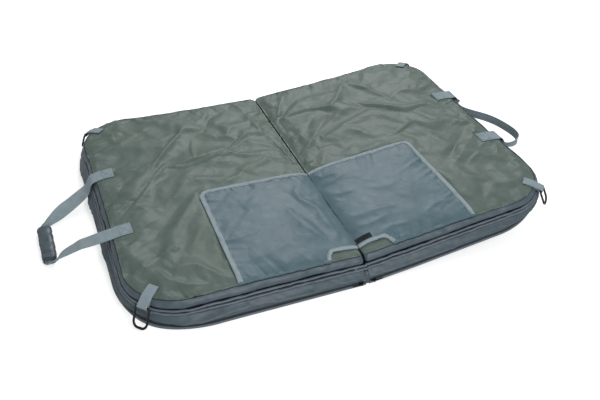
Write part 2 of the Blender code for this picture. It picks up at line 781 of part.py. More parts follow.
# The loops, from the back tail round to the front one: shares of the handle's reach and of
# its spread, the height as a share of the way up from the grip to the tails, the heading
# and tilt of the strap in degrees, and the strap's width as a share of its full width
LEFT_LOOP_SHARES = (
    (0.0, 1.0, 1.0, 90, 0, 1), (0.045, 0.995, 0.975, 90, 0, 1), (0.085, 0.99, 0.91, 90, 0, 1),
    (0.115, 0.985, 0.81, 91, 1, 1), (0.14, 0.98, 0.685, 92, 2, 1), (0.175, 0.968, 0.575, 95, 3, 1),
    (0.225, 0.942, 0.485, 99, 5, 1), (0.33, 0.875, 0.385, 105, 7, 1), (0.475, 0.767, 0.295, 110, 9, 1),
    (0.62, 0.654, 0.23, 116, 12, 0.95), (0.76, 0.52, 0.175, 128, 16, 0.85), (0.87, 0.40, 0.12, 146, 18, 0.72),
    (0.95, 0.33, 0.05, 166, 9, 0.62), (1.0, 0.28, 0.0, 180, 0, 0.6), (1.0, -0.10, 0.0, 180, 0, 0.6),
    (1.0, -0.47, 0.0, 180, 0, 0.6), (1.0, -0.85, 0.0, 180, 0, 0.6), (1.0, -0.905, 0.025, 182, 0, 0.66),
    (1.0, -0.945, 0.10, 189, 0, 0.8), (0.99, -0.965, 0.22, 204, 0, 0.95), (0.96, -0.96, 0.335, 226, 0, 1),
    (0.90, -0.935, 0.435, 246, 4, 1), (0.81, -0.91, 0.515, 258, 8, 1), (0.69, -0.905, 0.605, 265, 8, 1),
    (0.50, -0.93, 0.72, 268, 5, 1), (0.36, -0.96, 0.81, 269, 3, 1), (0.25, -0.98, 0.88, 270, 1, 1),
    (0.15, -0.995, 0.945, 270, 0, 1), (0.065, -1.0, 0.985, 270, 0, 1), (0.0, -1.0, 1.0, 270, 0, 1),
)
RIGHT_LOOP_SHARES = (
    (0.0, 1.0, 1.0, 90, 0, 1), (0.065, 0.995, 0.975, 90, 0, 1), (0.125, 0.985, 0.90, 91, 0, 1),
    (0.175, 0.97, 0.79, 92, 0, 1), (0.22, 0.95, 0.645, 94, 4, 1), (0.28, 0.91, 0.485, 98, 12, 1),
    (0.375, 0.845, 0.31, 105, 28, 1), (0.505, 0.745, 0.145, 115, 46, 1), (0.655, 0.61, 0.01, 128, 64, 1),
    (0.795, 0.45, -0.095, 143, 80, 1), (0.91, 0.265, -0.17, 158, 92, 1), (0.98, 0.06, -0.215, 170, 102, 1),
    (1.0, -0.17, -0.23, 180, 108, 1), (0.99, -0.39, -0.22, 187, 108, 1), (0.965, -0.60, -0.185, 196, 101, 1),
    (0.92, -0.775, -0.11, 210, 87, 1), (0.83, -0.895, 0.02, 230, 68, 1), (0.70, -0.95, 0.18, 247, 48, 1),
    (0.55, -0.975, 0.355, 258, 29, 1), (0.41, -0.99, 0.53, 265, 14, 1), (0.30, -0.995, 0.675, 268, 6, 1),
    (0.21, -1.0, 0.80, 270, 2, 1), (0.125, -1.0, 0.90, 270, 0, 1), (0.06, -1.0, 0.975, 270, 0, 1),
    (0.0, -1.0, 1.0, 270, 0, 1),
)


def handle_axis():
    """A handle turns about the middle of its strap, where the tail ends."""
    place = drawn_in(HALF_LENGTH, HANDLE_SPREAD, SEAM_HEIGHT)
    tail = on_panel(HALF_LENGTH - TAIL_SETBACK, HANDLE_SPREAD, CLEARANCE + STRAP_THICKNESS / 2)
    return Vector((place.x + LOOP_OUTSET, 0, tail.z))


def grip_height():
    """Height of the strap's middle inside the grip, which lies on the ground."""
    return GRIP_RISE + GRIP_WALL + GRIP_PLAY + STRAP_THICKNESS / 2


def handle_stations(shares, reach):
    """Places along a handle, each with the way across the strap times its half width."""
    axis = handle_axis()
    low = grip_height()
    stations = []
    for out_share, spread_share, height_share, heading, tilt, width_share in shares:
        turn = math.radians(heading)
        lean = math.radians(tilt)
        way = Vector((-math.cos(turn) * math.cos(lean), math.sin(turn) * math.cos(lean), math.sin(lean)))
        x = axis.x + (HALF_LENGTH + reach - axis.x) * out_share
        z = low + (axis.z - low) * height_share
        place = Vector((x, HANDLE_SPREAD * spread_share, z))
        stations.append((place, way * width_share))
    return stations


def add_handle(hand, shares, reach, body):
    name = HAND_NAMES[hand] + "_handle_loop"
    stations = handle_stations(shares, reach)
    add_strap(name, stations, STRAP_WIDTH, STRAP_THICKNESS, hand, body, "webbing")


def flat_rows():
    """The rows of the left loop that lie flat inside the grip."""
    return [row for row in LEFT_LOOP_SHARES if row[2] == 0]


def grip_centre():
    """Middle of the grip, where the strap lies flat."""
    rows = flat_rows()
    middle = HANDLE_SPREAD * (rows[0][1] + rows[-1][1]) / 2
    return Vector((HALF_LENGTH + LEFT_REACH, middle, grip_height()))


def grip_inner_half():
    """Half of the room inside the grip, across and up."""
    wide = STRAP_WIDTH / 2 * flat_rows()[0][5] + GRIP_PLAY
    return wide, STRAP_THICKNESS / 2 + GRIP_PLAY


def grip_outline(half_wide, half_tall, steps):
    """A flat outline with round ends, across the grip."""
    points = []
    for sign in (1, -1):
        for i in range(steps + 1):
            angle = sign * math.pi / 2 - math.pi * i / steps
            across = sign * (half_wide - half_tall) + half_tall * math.cos(angle)
            points.append((across, half_tall * math.sin(angle)))
    return points


def add_grip(body):
    """The padded sleeve that is wrapped round the left handle."""
    centre = grip_centre()
    inner_wide, inner_tall = grip_inner_half()
    shape = bmesh.new()
    loops = []
    for grow, ends in ((GRIP_WALL, (-1, 1)), (0, (1, -1))):
        outline = grip_outline(inner_wide + grow, inner_tall + grow, 4)
        for end in ends:
            y = centre.y + end * GRIP_LENGTH / 2
            loops.append(add_loop(shape, [(centre.x + x, y, centre.z + z) for x, z in outline]))
    for first, second in zip(loops, loops[1:] + loops[:1]):
        bridge(shape, first, second, True)
    finish_mesh("grip_sleeve", shape, LEFT, body, "dark_cloth")


def grip_leaf_hinge():
    """Line about which the grip's closing leaf opens, at its outer edge."""
    centre = grip_centre()
    wide, tall = grip_inner_half()
    top = centre.z + tall + GRIP_WALL + CLEARANCE
    return Vector((-(centre.x + wide + GRIP_WALL), centre.y, top + GRIP_LEAF / 2))


def add_grip_leaf(body):
    """The leaf that closes over the sleeve and opens outwards."""
    hinge = grip_leaf_hinge()
    wide = 2 * (grip_inner_half()[0] + GRIP_WALL)
    long = GRIP_LENGTH - 2 * GRIP_LEAF_SETBACK
    shape = bmesh.new()
    bmesh.ops.create_cube(shape, size=1)
    bmesh.ops.scale(shape, vec=(wide, long, GRIP_LEAF), verts=shape.verts)
    bmesh.ops.translate(shape, vec=(-hinge.x - wide / 2, hinge.y, hinge.z), verts=shape.verts)
    piece = finish_mesh("grip_leaf", shape, LEFT, body, "dark_cloth")
    bevel = piece.modifiers.new("soft_edges", "BEVEL")
    bevel.width = GRIP_LEAF / 3
    bevel.segments = 1


def corner_way(end):
    """The way out of a right-hand corner in plan, and the way along its edge."""
    sign = 1 if end == "back" else -1
    out = Vector((1, sign, 0)).normalized()
    along = Vector((-out.y, out.x, 0))
    return out, along


def corner_place(end, outset):
    """A plan point on the corner's diagonal, an outset beyond the seam."""
    out, _along = corner_way(end)
    sign = 1 if end == "back" else -1
    centre = Vector((HALF_LENGTH - CORNER_RADIUS, sign * (half_width - CORNER_RADIUS), 0))
    return centre + out * (CORNER_RADIUS + outset)


def ring_axis(end):
    """Middle of the ring's straight bar."""
    place = corner_place(end, RING_OUTSET)
    place.z = SEAM_HEIGHT - RING_DROP
    return place


def tab_station(end, outset, lift):
    """A place on the corner's diagonal, a lift above the top panel."""
    place = corner_place(end, outset)
    place.z = on_panel(place.x, place.y, lift).z
    return place


def add_tab(hand, end, body):
    """Webbing folded through the ring, its two plies sewn on the corner."""
    out, along = corner_way(end)
    bar = ring_axis(end)
    lower = CLEARANCE + TAB_THICKNESS / 2
    upper = lower + CLEARANCE + TAB_THICKNESS
    insets = crown_insets()
    stations = [tab_station(end, -TAB_LENGTH, upper)]
    stations += [tab_station(end, -inset, upper) for inset in reversed(insets) if 0 < inset < TAB_LENGTH]
    stations.append(tab_station(end, TAB_TURN, upper))
    turn = RING_WIRE + CLEARANCE + TAB_THICKNESS / 2
    for i in range(7):
        angle = math.pi / 2 - TAB_SLOPE - math.pi * i / 6
        stations.append(bar + out * turn * math.cos(angle) + Vector((0, 0, turn * math.sin(angle))))
    stations.append(tab_station(end, TAB_THICKNESS, lower - CLEARANCE))
    stations += [tab_station(end, -inset, lower) for inset in insets if inset < TAB_UNDERLAP]
    stations.append(tab_station(end, -TAB_UNDERLAP, lower))
    strip = [(place, along) for place in stations]
    name = HAND_NAMES[hand] + "_" + end + "_tab"
    add_strap(name, strip, TAB_WIDTH, TAB_THICKNESS, hand, body, "webbing")


def add_ring(hand, end, body):
    """A D ring of steel wire that hangs over the corner from its straight bar."""
    out, along = corner_way(end)
    bar = ring_axis(end)
    down = out * math.sin(RING_LEAN) - Vector((0, 0, math.cos(RING_LEAN)))
    half = RING_INNER_WIDTH / 2 + RING_WIRE
    straight = RING_INNER_DEPTH + 2 * RING_WIRE - half
    bend = RING_BEND
    points = []
    for i in range(3):
        angle = math.pi / 4 * i
        points.append((half - bend + bend * math.sin(angle), bend - bend * math.cos(angle)))
    for i in range(9):
        angle = math.pi * i / 8
        points.append((half * math.cos(angle), straight + half * math.sin(angle)))
    points += [(-x, y) for x, y in reversed(points[:3])]
    curve = bpy.data.curves.new("ring_wire", "CURVE")
    curve.dimensions = "3D"
    curve.bevel_depth = RING_WIRE
    curve.bevel_resolution = 1
    spline = curve.splines.new("POLY")
    spline.points.add(len(points) - 1)
    spline.use_cyclic_u = True
    for target, (x, y) in zip(spline.points, points):
        place = bar + along * x + down * y
        target.co = (place.x, place.y, place.z, 1)
    holder = bpy.data.objects.new("ring_wire", curve)
    mat_parts.objects.link(holder)
    graph = bpy.context.evaluated_depsgraph_get()
    mesh = bpy.data.meshes.new_from_object(holder.evaluated_get(graph))
    bpy.data.objects.remove(holder, do_unlink=True)
    mesh.materials.clear()
    shape = bmesh.new()
    shape.from_mesh(mesh)
    name = HAND_NAMES[hand] + "_" + end + "_ring"
    finish_mesh(name, shape, hand, body, "black_steel")


def slider_middle():
    """Middle of a slider's pin, in front of the zip."""
    front = half_width + BASE_FLARE + ZIP_COIL + CLEARANCE + SLIDER_DEPTH
    return Vector((SLIDER_PLACE, -(front + EAR_DEPTH / 2), zip_bottom + ZIP_HEIGHT / 2))


def add_block(shape, low, high):
    """A box between two corners."""
    made = bmesh.ops.create_cube(shape, size=1)
    size = [b - a for a, b in zip(low, high)]
    middle = [(a + b) / 2 for a, b in zip(low, high)]
    bmesh.ops.scale(shape, vec=size, verts=made["verts"])
    bmesh.ops.translate(shape, vec=middle, verts=made["verts"])


def add_slider(hand, body):
    """A slider: its outer plate, with two ears that hold the pull's pin."""
    pin = slider_middle()
    back = pin.y + EAR_DEPTH / 2 + SLIDER_DEPTH
    face = pin.y + EAR_DEPTH / 2
    outer = pin.y - EAR_DEPTH / 2
    half = SLIDER_LENGTH / 2
    tall = SLIDER_HEIGHT / 2
    levels = [-tall, -tall + EAR_HEIGHT, tall - EAR_HEIGHT, tall]
    profile = [(-half, back), (half, back), (half, face), (EAR_LENGTH / 2, face)]
    profile += [(EAR_LENGTH / 2, outer), (-EAR_LENGTH / 2, outer), (-EAR_LENGTH / 2, face), (-half, face)]
    shape = bmesh.new()
    loops = []
    for level in (levels[0], levels[3]):
        loops.append(add_loop(shape, [(pin.x + x, y, pin.z + level) for x, y in profile]))
    bridge(shape, loops[0], loops[1], True)
    shape.faces.new(list(reversed(loops[0])))
    shape.faces.new(loops[1])
    piece = finish_mesh(HAND_NAMES[hand] + "_zip_slider", shape, hand, body, "black_steel")
    cut_slider_window(piece, hand, body, pin, face, outer, levels)


def cut_slider_window(piece, hand, body, pin, face, outer, levels):
    """Open the space between a slider's ears, leaving the pin."""
    shape = bmesh.new()
    low = (pin.x - SLIDER_LENGTH, outer - EAR_DEPTH, pin.z + levels[1])
    high = (pin.x + SLIDER_LENGTH, face, pin.z + levels[2])
    outside = [(low[0], low[1]), (high[0], low[1]), (high[0], high[1]), (low[0], high[1])]
    hole = arc((pin.x, pin.y), PIN_RADIUS, 0, 2 * math.pi, 8)[:-1]
    curve = bpy.data.curves.new("slider_window", "CURVE")
    curve.dimensions = "2D"
    curve.fill_mode = "BOTH"
    curve.extrude = (high[2] - low[2]) / 2
    for points in (outside, hole):
        spline = curve.splines.new("POLY")
        spline.points.add(len(points) - 1)
        spline.use_cyclic_u = True
        for target, (x, y) in zip(spline.points, points):
            target.co = (x, y, 0, 1)
    holder = bpy.data.objects.new("slider_window", curve)
    cutters.objects.link(holder)
    graph = bpy.context.evaluated_depsgraph_get()
    mesh = bpy.data.meshes.new_from_object(holder.evaluated_get(graph))
    bpy.data.objects.remove(holder, do_unlink=True)
    shape.from_mesh(mesh)
    bmesh.ops.remove_doubles(shape, verts=shape.verts, dist=PIN_RADIUS / 100)
    bmesh.ops.translate(shape, vec=(0, 0, (low[2] + high[2]) / 2), verts=shape.verts)
    bmesh.ops.recalc_face_normals(shape, faces=shape.faces)
    name = HAND_NAMES[hand] + "_slider_window"
    cutter = finish_mesh(name, shape, hand, body, "black_steel")
    mat_parts.objects.unlink(cutter)
    cutters.objects.link(cutter)
    cutter.hide_render = True
    cutter.display_type = "WIRE"
    cut = piece.modifiers.new("window", "BOOLEAN")
    cut.operation = "DIFFERENCE"
    cut.object = cutter


def add_pull(hand, body):
    """A flat pull with an eye round the slider's pin, lying along the zip."""
    pin = slider_middle()
    tall = SLIDER_HEIGHT - 2 * EAR_HEIGHT - 2 * CLEARANCE
    half = PULL_THICKNESS / 2
    joint = math.asin(half / PULL_RADIUS)
    eye = arc((pin.x, pin.y), PULL_RADIUS, joint, 2 * math.pi - 2 * joint, 12)
    end = [(pin.x + PULL_LENGTH, pin.y - half), (pin.x + PULL_LENGTH, pin.y + half)]
    bore = arc((pin.x, pin.y), PULL_BORE, 0, 2 * math.pi, 12)[:-1]
    curve = bpy.data.curves.new("pull", "CURVE")
    curve.dimensions = "2D"
    curve.fill_mode = "BOTH"
    curve.extrude = tall / 2
    for points in (eye + end, bore):
        spline = curve.splines.new("POLY")
        spline.points.add(len(points) - 1)
        spline.use_cyclic_u = True
        for target, (x, y) in zip(spline.points, points):
            target.co = (x, y, 0, 1)
    holder = bpy.data.objects.new("pull", curve)
    mat_parts.objects.link(holder)
    graph = bpy.context.evaluated_depsgraph_get()
    mesh = bpy.data.meshes.new_from_object(holder.evaluated_get(graph))
    bpy.data.objects.remove(holder, do_unlink=True)
    mesh.materials.clear()
    shape = bmesh.new()
    shape.from_mesh(mesh)
    bmesh.ops.remove_doubles(shape, verts=shape.verts, dist=PIN_RADIUS / 100)
    bmesh.ops.translate(shape, vec=(0, 0, pin.z), verts=shape.verts)
    finish_mesh(HAND_NAMES[hand] + "_zip_pull", shape, hand, body, "black_steel")


def lifted(x, z):
    """Where the right half's rest carries a point of the crease's section."""
    below = z - fold_height
    across = x * math.cos(REST_LIFT) - below * math.sin(REST_LIFT)
    return across, fold_height + x * math.sin(REST_LIFT) + below * math.cos(REST_LIFT)


def add_gusset(body):
    """A pleat of cloth in the gap, which opens into the spine as the mat folds."""
    shape = bmesh.new()
    side = half_width - SIDE_DRAW
    top = SEAM_HEIGHT * GUSSET_SHARE
    outer = GUSSET_HALF
    inner = GUSSET_HALF - GUSSET_PLY
    left = [(-outer, CLEARANCE), (-inner, CLEARANCE), (-inner, top - GUSSET_PLY)]
    right = [lifted(x, z) for x, z in ((inner, top - GUSSET_PLY), (inner, CLEARANCE), (outer, CLEARANCE))]
    profile = left + right + [lifted(outer, top), (-outer, top)]
    loops = []
    for y in (-side, side):
        loops.append(add_loop(shape, [(x, y, z) for x, z in profile]))
    bridge(shape, loops[0], loops[1], True)
    shape.faces.new(list(reversed(loops[0])))
    shape.faces.new(loops[1])
    finish_mesh("spine_gusset", shape, RIGHT, body, "dark_cloth")


def flap_hinge():
    """The flap turns about the front seam."""
    return Vector((0, -half_width - HINGE_OUTSET, SEAM_HEIGHT + panel_lift + FLAP_THICKNESS / 2))


def add_half(hand, body):
    """One half of the mat with its flap, handle, tabs, rings and slider."""
    side = HAND_NAMES[hand]
    add_layers(hand, body)
    add_carrier(side + "_flap", flap_hinge(), body)
    add_flap(hand, side + "_flap")
    axis = handle_axis()
    add_carrier(side + "_handle", (hand * axis.x, axis.y, axis.z), body)
    for end in ("front", "back"):
        add_tail(hand, end, body)
        add_tab(hand, end, body)
        bar = ring_axis(end)
        ring_body = side + "_" + end + "_ring"
        add_carrier(ring_body, (hand * bar.x, bar.y, bar.z), body)
        add_ring(hand, end, ring_body)
    pin = slider_middle()
    add_carrier(side + "_slider", (hand * pin.x, pin.y, pin.z), body)
    add_slider(hand, side + "_slider")
    add_carrier(side + "_pull", (hand * pin.x, pin.y, pin.z), side + "_slider")
    add_pull(hand, side + "_pull")


add_carrier("left_half", (0, 0, 0))
add_carrier("right_half", (0, 0, fold_height), "left_half")
carriers["right_half"].rotation_euler = (0, -REST_LIFT, 0)
add_half(LEFT, "left_half")
add_half(RIGHT, "right_half")
add_handle(LEFT, LEFT_LOOP_SHARES, LEFT_REACH, "left_handle")
add_handle(RIGHT, RIGHT_LOOP_SHARES, RIGHT_REACH, "right_handle")
add_grip("left_handle")
add_carrier("grip_leaf", grip_leaf_hinge(), "left_handle")
add_grip_leaf("grip_leaf")
add_label(RIGHT, "right_flap")
add_gusset("left_half")
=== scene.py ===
import math

import bmesh
import bpy
import numpy as np
from mathutils import Matrix, Vector


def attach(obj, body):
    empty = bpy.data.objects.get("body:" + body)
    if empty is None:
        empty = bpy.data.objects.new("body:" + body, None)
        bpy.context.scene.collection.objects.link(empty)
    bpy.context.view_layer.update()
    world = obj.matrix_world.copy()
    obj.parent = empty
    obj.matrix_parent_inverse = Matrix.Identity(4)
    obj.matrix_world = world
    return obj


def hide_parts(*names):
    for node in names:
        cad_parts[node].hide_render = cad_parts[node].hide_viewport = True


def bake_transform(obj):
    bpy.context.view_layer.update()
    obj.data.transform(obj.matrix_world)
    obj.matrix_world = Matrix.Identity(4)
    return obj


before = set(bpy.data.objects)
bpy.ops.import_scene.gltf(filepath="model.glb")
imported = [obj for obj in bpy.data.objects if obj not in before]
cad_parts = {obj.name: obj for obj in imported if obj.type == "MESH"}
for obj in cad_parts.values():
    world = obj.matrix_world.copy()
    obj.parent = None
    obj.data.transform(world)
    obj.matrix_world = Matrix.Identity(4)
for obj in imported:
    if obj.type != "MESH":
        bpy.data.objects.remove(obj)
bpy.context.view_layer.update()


# The picture
# The photograph is taken from the front left, a little above the mat, with the camera
# rolled three degrees. Lens and place come from a fit of the seams to the photograph.
camera_place = Vector((-0.64494, -1.44831, 1.16834))
camera_pitch, camera_yaw, camera_roll = (math.radians(a) for a in (37.478, 24.123, 3.154))
picture_width = 600
lens_pixels = 705.56

ahead = Vector((
    math.sin(camera_yaw) * math.cos(camera_pitch),
    math.cos(camera_yaw) * math.cos(camera_pitch),
    -math.sin(camera_pitch),
))
level_right = Vector((math.cos(camera_yaw), -math.sin(camera_yaw), 0))
level_up = level_right.cross(ahead)
picture_right = math.cos(camera_roll) * level_right + math.sin(camera_roll) * level_up
picture_up = math.cos(camera_roll) * level_up - math.sin(camera_roll) * level_right
camera_data = bpy.data.cameras.new("camera")
camera_data.sensor_width = 36
camera_data.lens = lens_pixels / picture_width * camera_data.sensor_width
camera = bpy.data.objects.new("camera", camera_data)
bpy.context.scene.collection.objects.link(camera)
turn = Matrix((picture_right, picture_up, -ahead)).transposed().to_4x4()
camera.matrix_world = Matrix.Translation(camera_place) @ turn
bpy.context.scene.camera = camera


# Pad boxings
# Each pad has a side wall of coated slate nylon, cut as one long strip and sewn to the
# green top at the upper seam and to a rolled hem below. It is soft and swells outwards.
half_length, pad_width, seam_height = 0.535, 0.772, 0.070
half_width = pad_width / 2
corner_radius, corner_ease = 0.124, 0.045
crease_gap_half, crease_radius, least_radius = 0.0015, 0.014, 0.002
side_draw, end_draw = 0.004, 0.005
base_flare, end_flare_share, wall_bulge = 0.026, 0.75, 0.010
split_height, band_bottom = 0.03976, 0.0126
rest_lift = math.radians(7)
fold_height, end_thinning = 0.0831, 0.009
pressed_from, pressed_run, pressed_power = 0.12, 0.32, 0.35
sag_x, sag_y, sag_spread, sag_depth, sag_top, sag_outward_share = 0.50, -0.36, 0.085, 0.0105, 0.040, 0.6
handle_spread = 0.120
seam_wave_height = {"left": 0.0008, "right": 0.0014}
seam_wave_reach, seam_wave_foot, seam_wave_rise = 0.014, 0.050, 0.016
calm_outset, calm_radius, calm_fade = 0.010, 0.058, 0.012
tail_calm_length, tail_calm_half, tail_calm_fade = 0.062, 0.034, 0.010
front_steps, corner_steps, end_steps, crease_steps, crease_side_steps = 92, 34, 84, 6, 120


def clamped(value):
    return np.clip(value, 0.0, 1.0)


def drawn_in(plan, height):
    """The sides of a pad pull in between its corners, most at the seam."""
    x, y = plan[..., 0], plan[..., 1]
    rise = clamped((height - split_height) / (seam_height - split_height))
    along = clamped((x - crease_gap_half) / (half_length - corner_radius - crease_gap_half))
    across = clamped((y + half_width - corner_radius) / (pad_width - 2 * corner_radius))
    end_pull = end_draw * np.sin(math.pi * across) * rise
    side_pull = side_draw * np.sin(math.pi * along) * rise
    out = np.empty(plan.shape[:-1] + (3,))
    out[..., 0] = x - end_pull * x / half_length
    out[..., 1] = y - side_pull * y / half_width
    out[..., 2] = height
    return out


def quarter_round(centre, radius, start, count):
    """A quarter of a circle in plan, turning on from its start angle."""
    angles = start + np.linspace(0, math.pi / 2, count + 1)
    return np.stack([centre[0] + radius * np.cos(angles), centre[1] + radius * np.sin(angles)], -1)


def straight(start, end, count):
    """Evenly spaced places from a start to an end."""
    return np.linspace(start, end, count + 1)


def outer_sides(flare, inset, setback, height):
    """Plan of the front, end and back of a half, from the crease and back to it."""
    near = crease_gap_half + inset + setback
    far = half_length + flare * end_flare_share - inset
    side = half_width + flare - inset
    ease = corner_ease * clamped((split_height - height) / (split_height - band_bottom))
    radius = max(corner_radius + ease + flare - inset, least_radius)
    cx, cy = far - radius, side - radius
    return np.concatenate([
        straight((near, -side), (cx, -side), front_steps),
        quarter_round((cx, -cy), radius, -math.pi / 2, corner_steps)[1:],
        straight((far, -cy), (far, cy), end_steps)[1:],
        quarter_round((cx, cy), radius, 0, corner_steps)[1:],
        straight((cx, side), (near, side), front_steps)[1:],
    ])


def whole_outline(flare, inset, height):
    """Plan of a half all the way round, with the small rounds beside the crease."""
    near = crease_gap_half + inset
    side = half_width + flare - inset
    rise = clamped((height - split_height) / (seam_height - split_height))
    radius = max(least_radius + (crease_radius - least_radius) * rise - inset, least_radius)
    return np.concatenate([
        quarter_round((near + radius, -side + radius), radius, math.pi, crease_steps)[:-1],
        outer_sides(flare, inset, radius, height),
        quarter_round((near + radius, side - radius), radius, math.pi / 2, crease_steps)[1:],
        straight((near, side - radius), (near, -side + radius), crease_side_steps)[1:-1],
    ])


def seeded_noise(x, y, size, seed):
    """Smooth noise between -1 and 1 over a plan, in lumps of about the given size."""
    table = np.random.default_rng(seed).uniform(-1, 1, (61, 61))
    gx, gy = np.asarray(x) / size + 7.3, np.asarray(y) / size + 5.1
    ix, iy = np.floor(gx).astype(int), np.floor(gy).astype(int)
    fx, fy = gx - ix, gy - iy
    fx, fy = fx ** 3 * (fx * (6 * fx - 15) + 10), fy ** 3 * (fy * (6 * fy - 15) + 10)
    low = table[ix % 61, iy % 61] * (1 - fx) + table[(ix + 1) % 61, iy % 61] * fx
    high = table[ix % 61, (iy + 1) % 61] * (1 - fx) + table[(ix + 1) % 61, (iy + 1) % 61] * fx
    return low * (1 - fy) + high * fy


def noise_along(run, size, seed):
    """The same noise along a single distance."""
    return seeded_noise(run, 0 * run, size, seed)


def corner_place(side, outset):
    """A place on the corner's diagonal, an outset beyond the seam."""
    reach = (corner_radius + outset) / math.sqrt(2)
    return np.array((half_length - corner_radius + reach, side * (half_width - corner_radius + reach)))


def edge_depths(x, y):
    """Distances in from the crease side, the end, the front and the back of a top."""
    beyond = np.maximum(np.abs(y) - (half_width - corner_radius), 0)
    far = half_length - corner_radius + np.sqrt(np.maximum(corner_radius ** 2 - beyond ** 2, 0))
    return x - crease_gap_half, far - x, y + half_width, half_width - y


def seam_waves(points, hand):
    """Small waves of the pad's upper seam, which die out over the top and down the wall."""
    x, y, z = points[..., 0], points[..., 1], points[..., 2]
    depth = np.minimum.reduce(edge_depths(x, y)[1:])
    near = np.exp(-np.maximum(depth, 0) / seam_wave_reach) * clamped((z - seam_wave_foot) / seam_wave_rise)
    waves = seeded_noise(x, y, 0.021, 301) + 0.9 * seeded_noise(x + 0.3, y, 0.056, 302)
    tab_x, tab_y = corner_place(1, calm_outset)
    calm = clamped((calm_radius - np.hypot(x - tab_x, np.abs(y) - tab_y)) / calm_fade)
    beside = tail_calm_half - np.abs(np.abs(y) - handle_spread)
    tails = clamped(np.minimum(x - half_length + tail_calm_length, beside) / tail_calm_fade)
    calm = np.maximum(calm, tails)
    return seam_wave_height[hand] * near * waves * (1 - calm)


def laid(points, hand):
    """From a half's own place, x running out from the crease, to its place in the mat.

    The left half's front corner sags at the ground. The right half has been pressed thinner
    towards its end, from below."""
    out = np.array(points, float)
    out[..., 2] += seam_waves(out, hand)
    if hand == "left":
        away = np.hypot(out[..., 0] - sag_x, out[..., 1] - sag_y) / sag_spread
        sag = sag_depth * np.exp(-away ** 2) * clamped(1 - out[..., 2] / sag_top)
        out[..., 0] = -out[..., 0] - sag * sag_outward_share
        out[..., 1] -= sag
        return out
    beyond = clamped((out[..., 0] - pressed_from) / pressed_run)
    pressed = end_thinning * beyond * clamped(1 - out[..., 2] / seam_height) ** pressed_power
    x, z = out[..., 0], out[..., 2] + pressed - fold_height
    out[..., 0] = x * math.cos(rest_lift) - z * math.sin(rest_lift)
    out[..., 2] = fold_height + x * math.sin(rest_lift) + z * math.cos(rest_lift)
    return out


def run_lengths(points):
    """Distance along a run of points, measured from its first."""
    steps = np.linalg.norm(np.diff(points, axis=0), axis=1)
    return np.concatenate([[0.0], np.cumsum(steps)])


def grid_piece(name, grid, finish, closed_rows=False, closed_columns=False, turned=False):
    """A mesh over a grid of points (rows, columns), with its lengths in metres as UVs."""
    rows, columns = grid.shape[:2]
    if closed_columns:
        grid = np.concatenate([grid, grid[:, :1]], 1)
    if closed_rows:
        grid = np.concatenate([grid, grid[:1]], 0)
    across = run_lengths(grid[:, grid.shape[1] // 2])
    along = run_lengths(grid[grid.shape[0] // 2])
    number = np.arange(rows * columns).reshape(rows, columns)
    if closed_columns:
        number = np.concatenate([number, number[:, :1]], 1)
    if closed_rows:
        number = np.concatenate([number, number[:1]], 0)
    corners = [number[:-1, :-1], number[:-1, 1:], number[1:, 1:], number[1:, :-1]]
    u, v = np.meshgrid(along, across)
    flats = [np.stack([u, v], -1)[a, b] for a, b in (
        (slice(None, -1), slice(None, -1)), (slice(None, -1), slice(1, None)),
        (slice(1, None), slice(1, None)), (slice(1, None), slice(None, -1)))]
    if turned:
        corners, flats = corners[::-1], flats[::-1]
    faces = np.stack([c.ravel() for c in corners], -1)
    mesh = bpy.data.meshes.new(name)
    mesh.from_pydata(grid[:rows, :columns].reshape(-1, 3).tolist(), [], faces.tolist())
    layer = mesh.uv_layers.new(name="cut")
    layer.data.foreach_set("uv", np.stack([f.reshape(-1, 2) for f in flats], 1).ravel())
    mesh.materials.append(finish)
    mesh.polygons.foreach_set("use_smooth", [True] * len(mesh.polygons))
    piece = bpy.data.objects.new(name, mesh)
    bpy.context.scene.collection.objects.link(piece)
    return piece


class Wire:
    """A shader socket that can stand in a sum: 1 - mask, noise * 0.2 + 0.4."""

    def __init__(self, socket):
        self.socket = socket

    def sum(self, operation, first, second):
        node = self.socket.id_data.nodes.new("ShaderNodeMath")
        node.operation = operation
        for slot, value in zip(node.inputs, (first, second)):
            join(self.socket.id_data, value, slot)
        return Wire(node.outputs[0])

    def __add__(self, other):
        return self.sum("ADD", self, other)

    def __radd__(self, other):
        return self.sum("ADD", other, self)

    def __sub__(self, other):
        return self.sum("SUBTRACT", self, other)

    def __rsub__(self, other):
        return self.sum("SUBTRACT", other, self)

    def __mul__(self, other):
        return self.sum("MULTIPLY", self, other)

    def __rmul__(self, other):
        return self.sum("MULTIPLY", other, self)


def join(tree, value, slot):
    """Put a number, a colour or another node's wire into a socket."""
    if isinstance(value, Wire):
        tree.links.new(value.socket, slot)
    elif hasattr(value, "__len__") and slot.type == "RGBA":
        slot.default_value = (*value[:3], 1.0)
    else:
        slot.default_value = value


